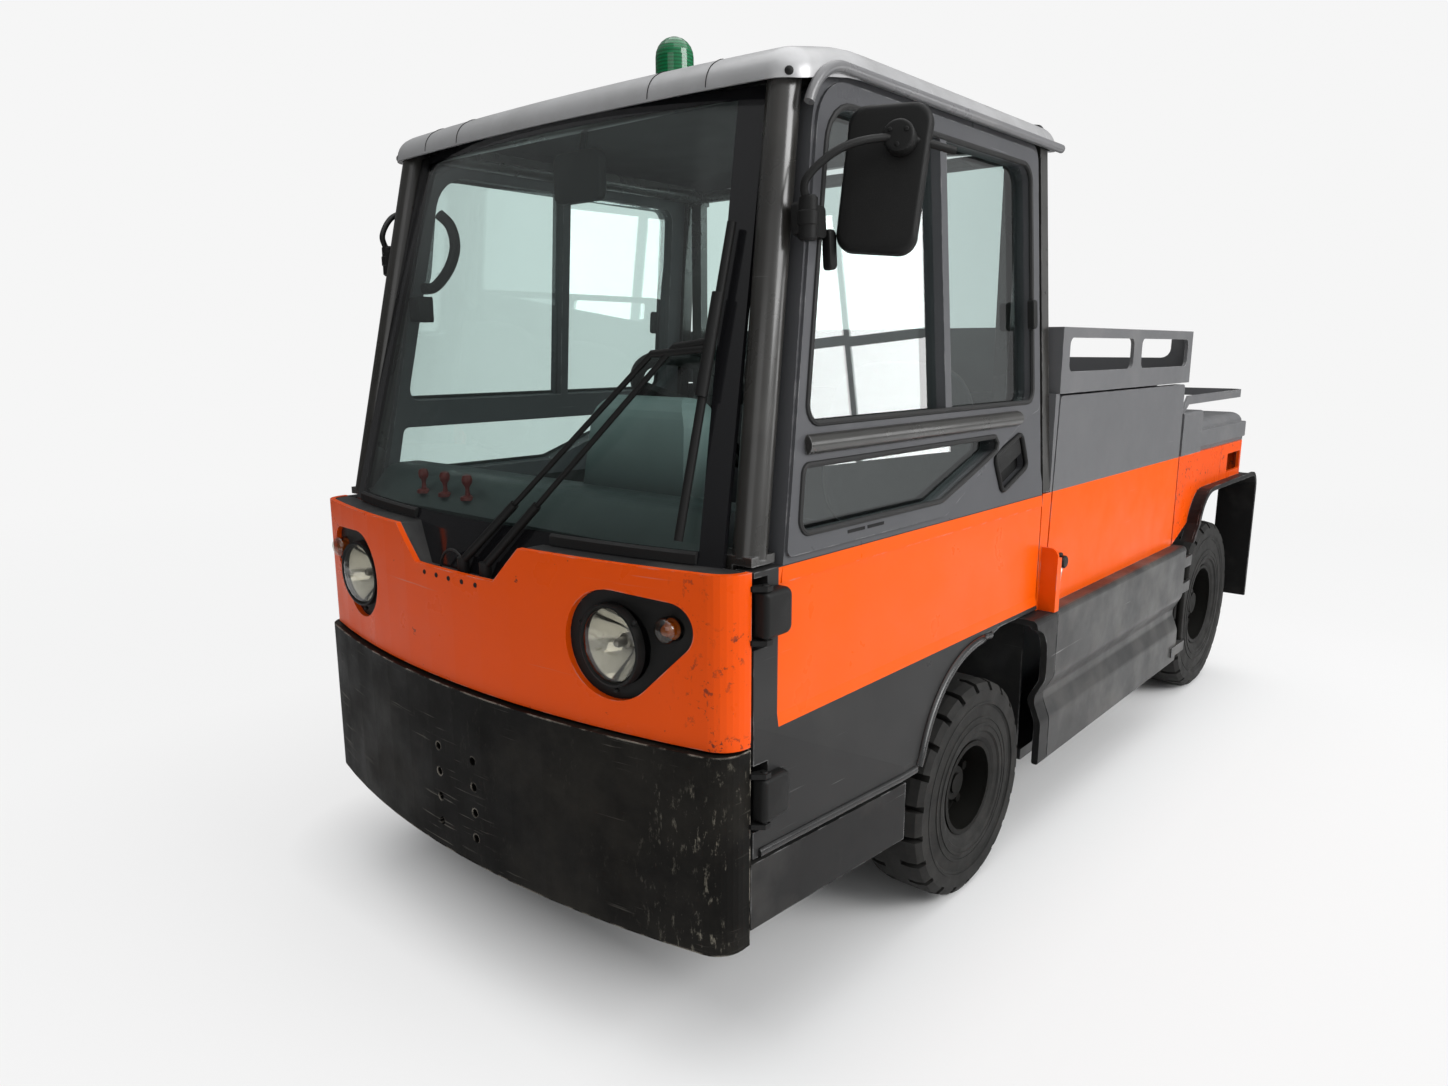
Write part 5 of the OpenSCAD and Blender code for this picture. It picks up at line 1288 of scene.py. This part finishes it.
def stage_world():
    """White to the camera; to the object a studio bright above and on its left side."""
    world = bpy.data.worlds.new("studio")
    bpy.context.scene.world = world
    world.use_nodes = True
    tree = world.node_tree
    toward = make(tree, "SeparateXYZ", ins={"Vector": make(tree, "TexCoord").outputs["Generated"]})
    glow = None
    for axis, low, high, most in SKY_GLOW:
        ins = {"Value": toward.outputs[axis], "From Min": low, "From Max": high, "To Max": most}
        part = make(tree, "MapRange", {"clamp": True}, ins).outputs[0]
        glow = part if glow is None else make(tree, "Math", {}, {0: glow, 1: part}).outputs[0]
    total = make(tree, "Math", {}, {0: glow, 1: SKY_BASE}).outputs[0]
    back = tree.nodes["Background"]
    back.inputs["Color"].default_value = (0.98, 0.99, 1.0, 1)
    tree.links.new(total, back.inputs["Strength"])
    seen = make(tree, "Background", ins={"Color": (WHITE, WHITE, WHITE, 1), "Strength": 1.0})
    path = make(tree, "LightPath")
    rays = {0: path.outputs["Is Camera Ray"], 1: path.outputs["Is Transmission Ray"]}
    straight = make(tree, "Math", {"operation": "MAXIMUM"}, rays).outputs[0]
    both = make(tree, "MixShader", ins={0: straight, 1: back.outputs[0], 2: seen.outputs[0]})
    tree.links.new(both.outputs[0], tree.nodes["World Output"].inputs["Surface"])


def area_light(name, place, target, size, power, tint=(1, 1, 1)):
    data = bpy.data.lights.new(name, "AREA")
    data.shape = "RECTANGLE"
    data.size, data.size_y = size
    data.energy = power
    data.color = tint
    lamp = bpy.data.objects.new(name, data)
    lamp.location = place
    aim = Vector(target) - Vector(place)
    lamp.visible_camera = False
    lamp.rotation_euler = aim.to_track_quat("-Z", "Y").to_euler()
    bpy.context.scene.collection.objects.link(lamp)


LIGHTS = (
    ("key_side", (7.5, 1.0, 5.0), (0, -0.3, 0.8), (5.0, 4.0), 540),
    ("top_soft", (0.0, 0.5, 9.0), (0, 0, 0), (10.0, 10.0), 400),
    ("front_fill", (2.2, -7.0, 2.6), (0, -1.4, 0.8), (4.0, 3.0), 40),
)
# Four small soft boxes whose reflections show in the left side window
CARD_AT = Vector((3.97, 3.88, 1.85))
CARD_ALONG = Vector((-0.67, 0.74, 0))
CARD_SIZE = (0.70, 0.92)
CARD_PITCH = (0.39, 0.5)
CARD_POWER = 7
stage_floor()
stage_world()
for light in LIGHTS:
    area_light(*light)
for column in (-1, 1):
    for row in (-1, 1):
        place = CARD_AT + CARD_ALONG * (column * CARD_PITCH[0]) + Vector((0, 0, row * CARD_PITCH[1]))
        target = place + Vector((-0.56, -0.83, 0))
        area_light("window_card", place, target, CARD_SIZE, CARD_POWER)

camera_data = bpy.data.cameras.new("camera")
camera_data.sensor_width = SENSOR
camera_data.lens = CAMERA_LENS
camera = bpy.data.objects.new("camera", camera_data)
camera.location = CAMERA_AT
camera.rotation_euler = (math.radians(90 - CAMERA_DOWN), 0, math.radians(CAMERA_ROUND))
bpy.context.scene.collection.objects.link(camera)
bpy.context.scene.camera = camera
bpy.context.scene.view_settings.view_transform = "Standard"
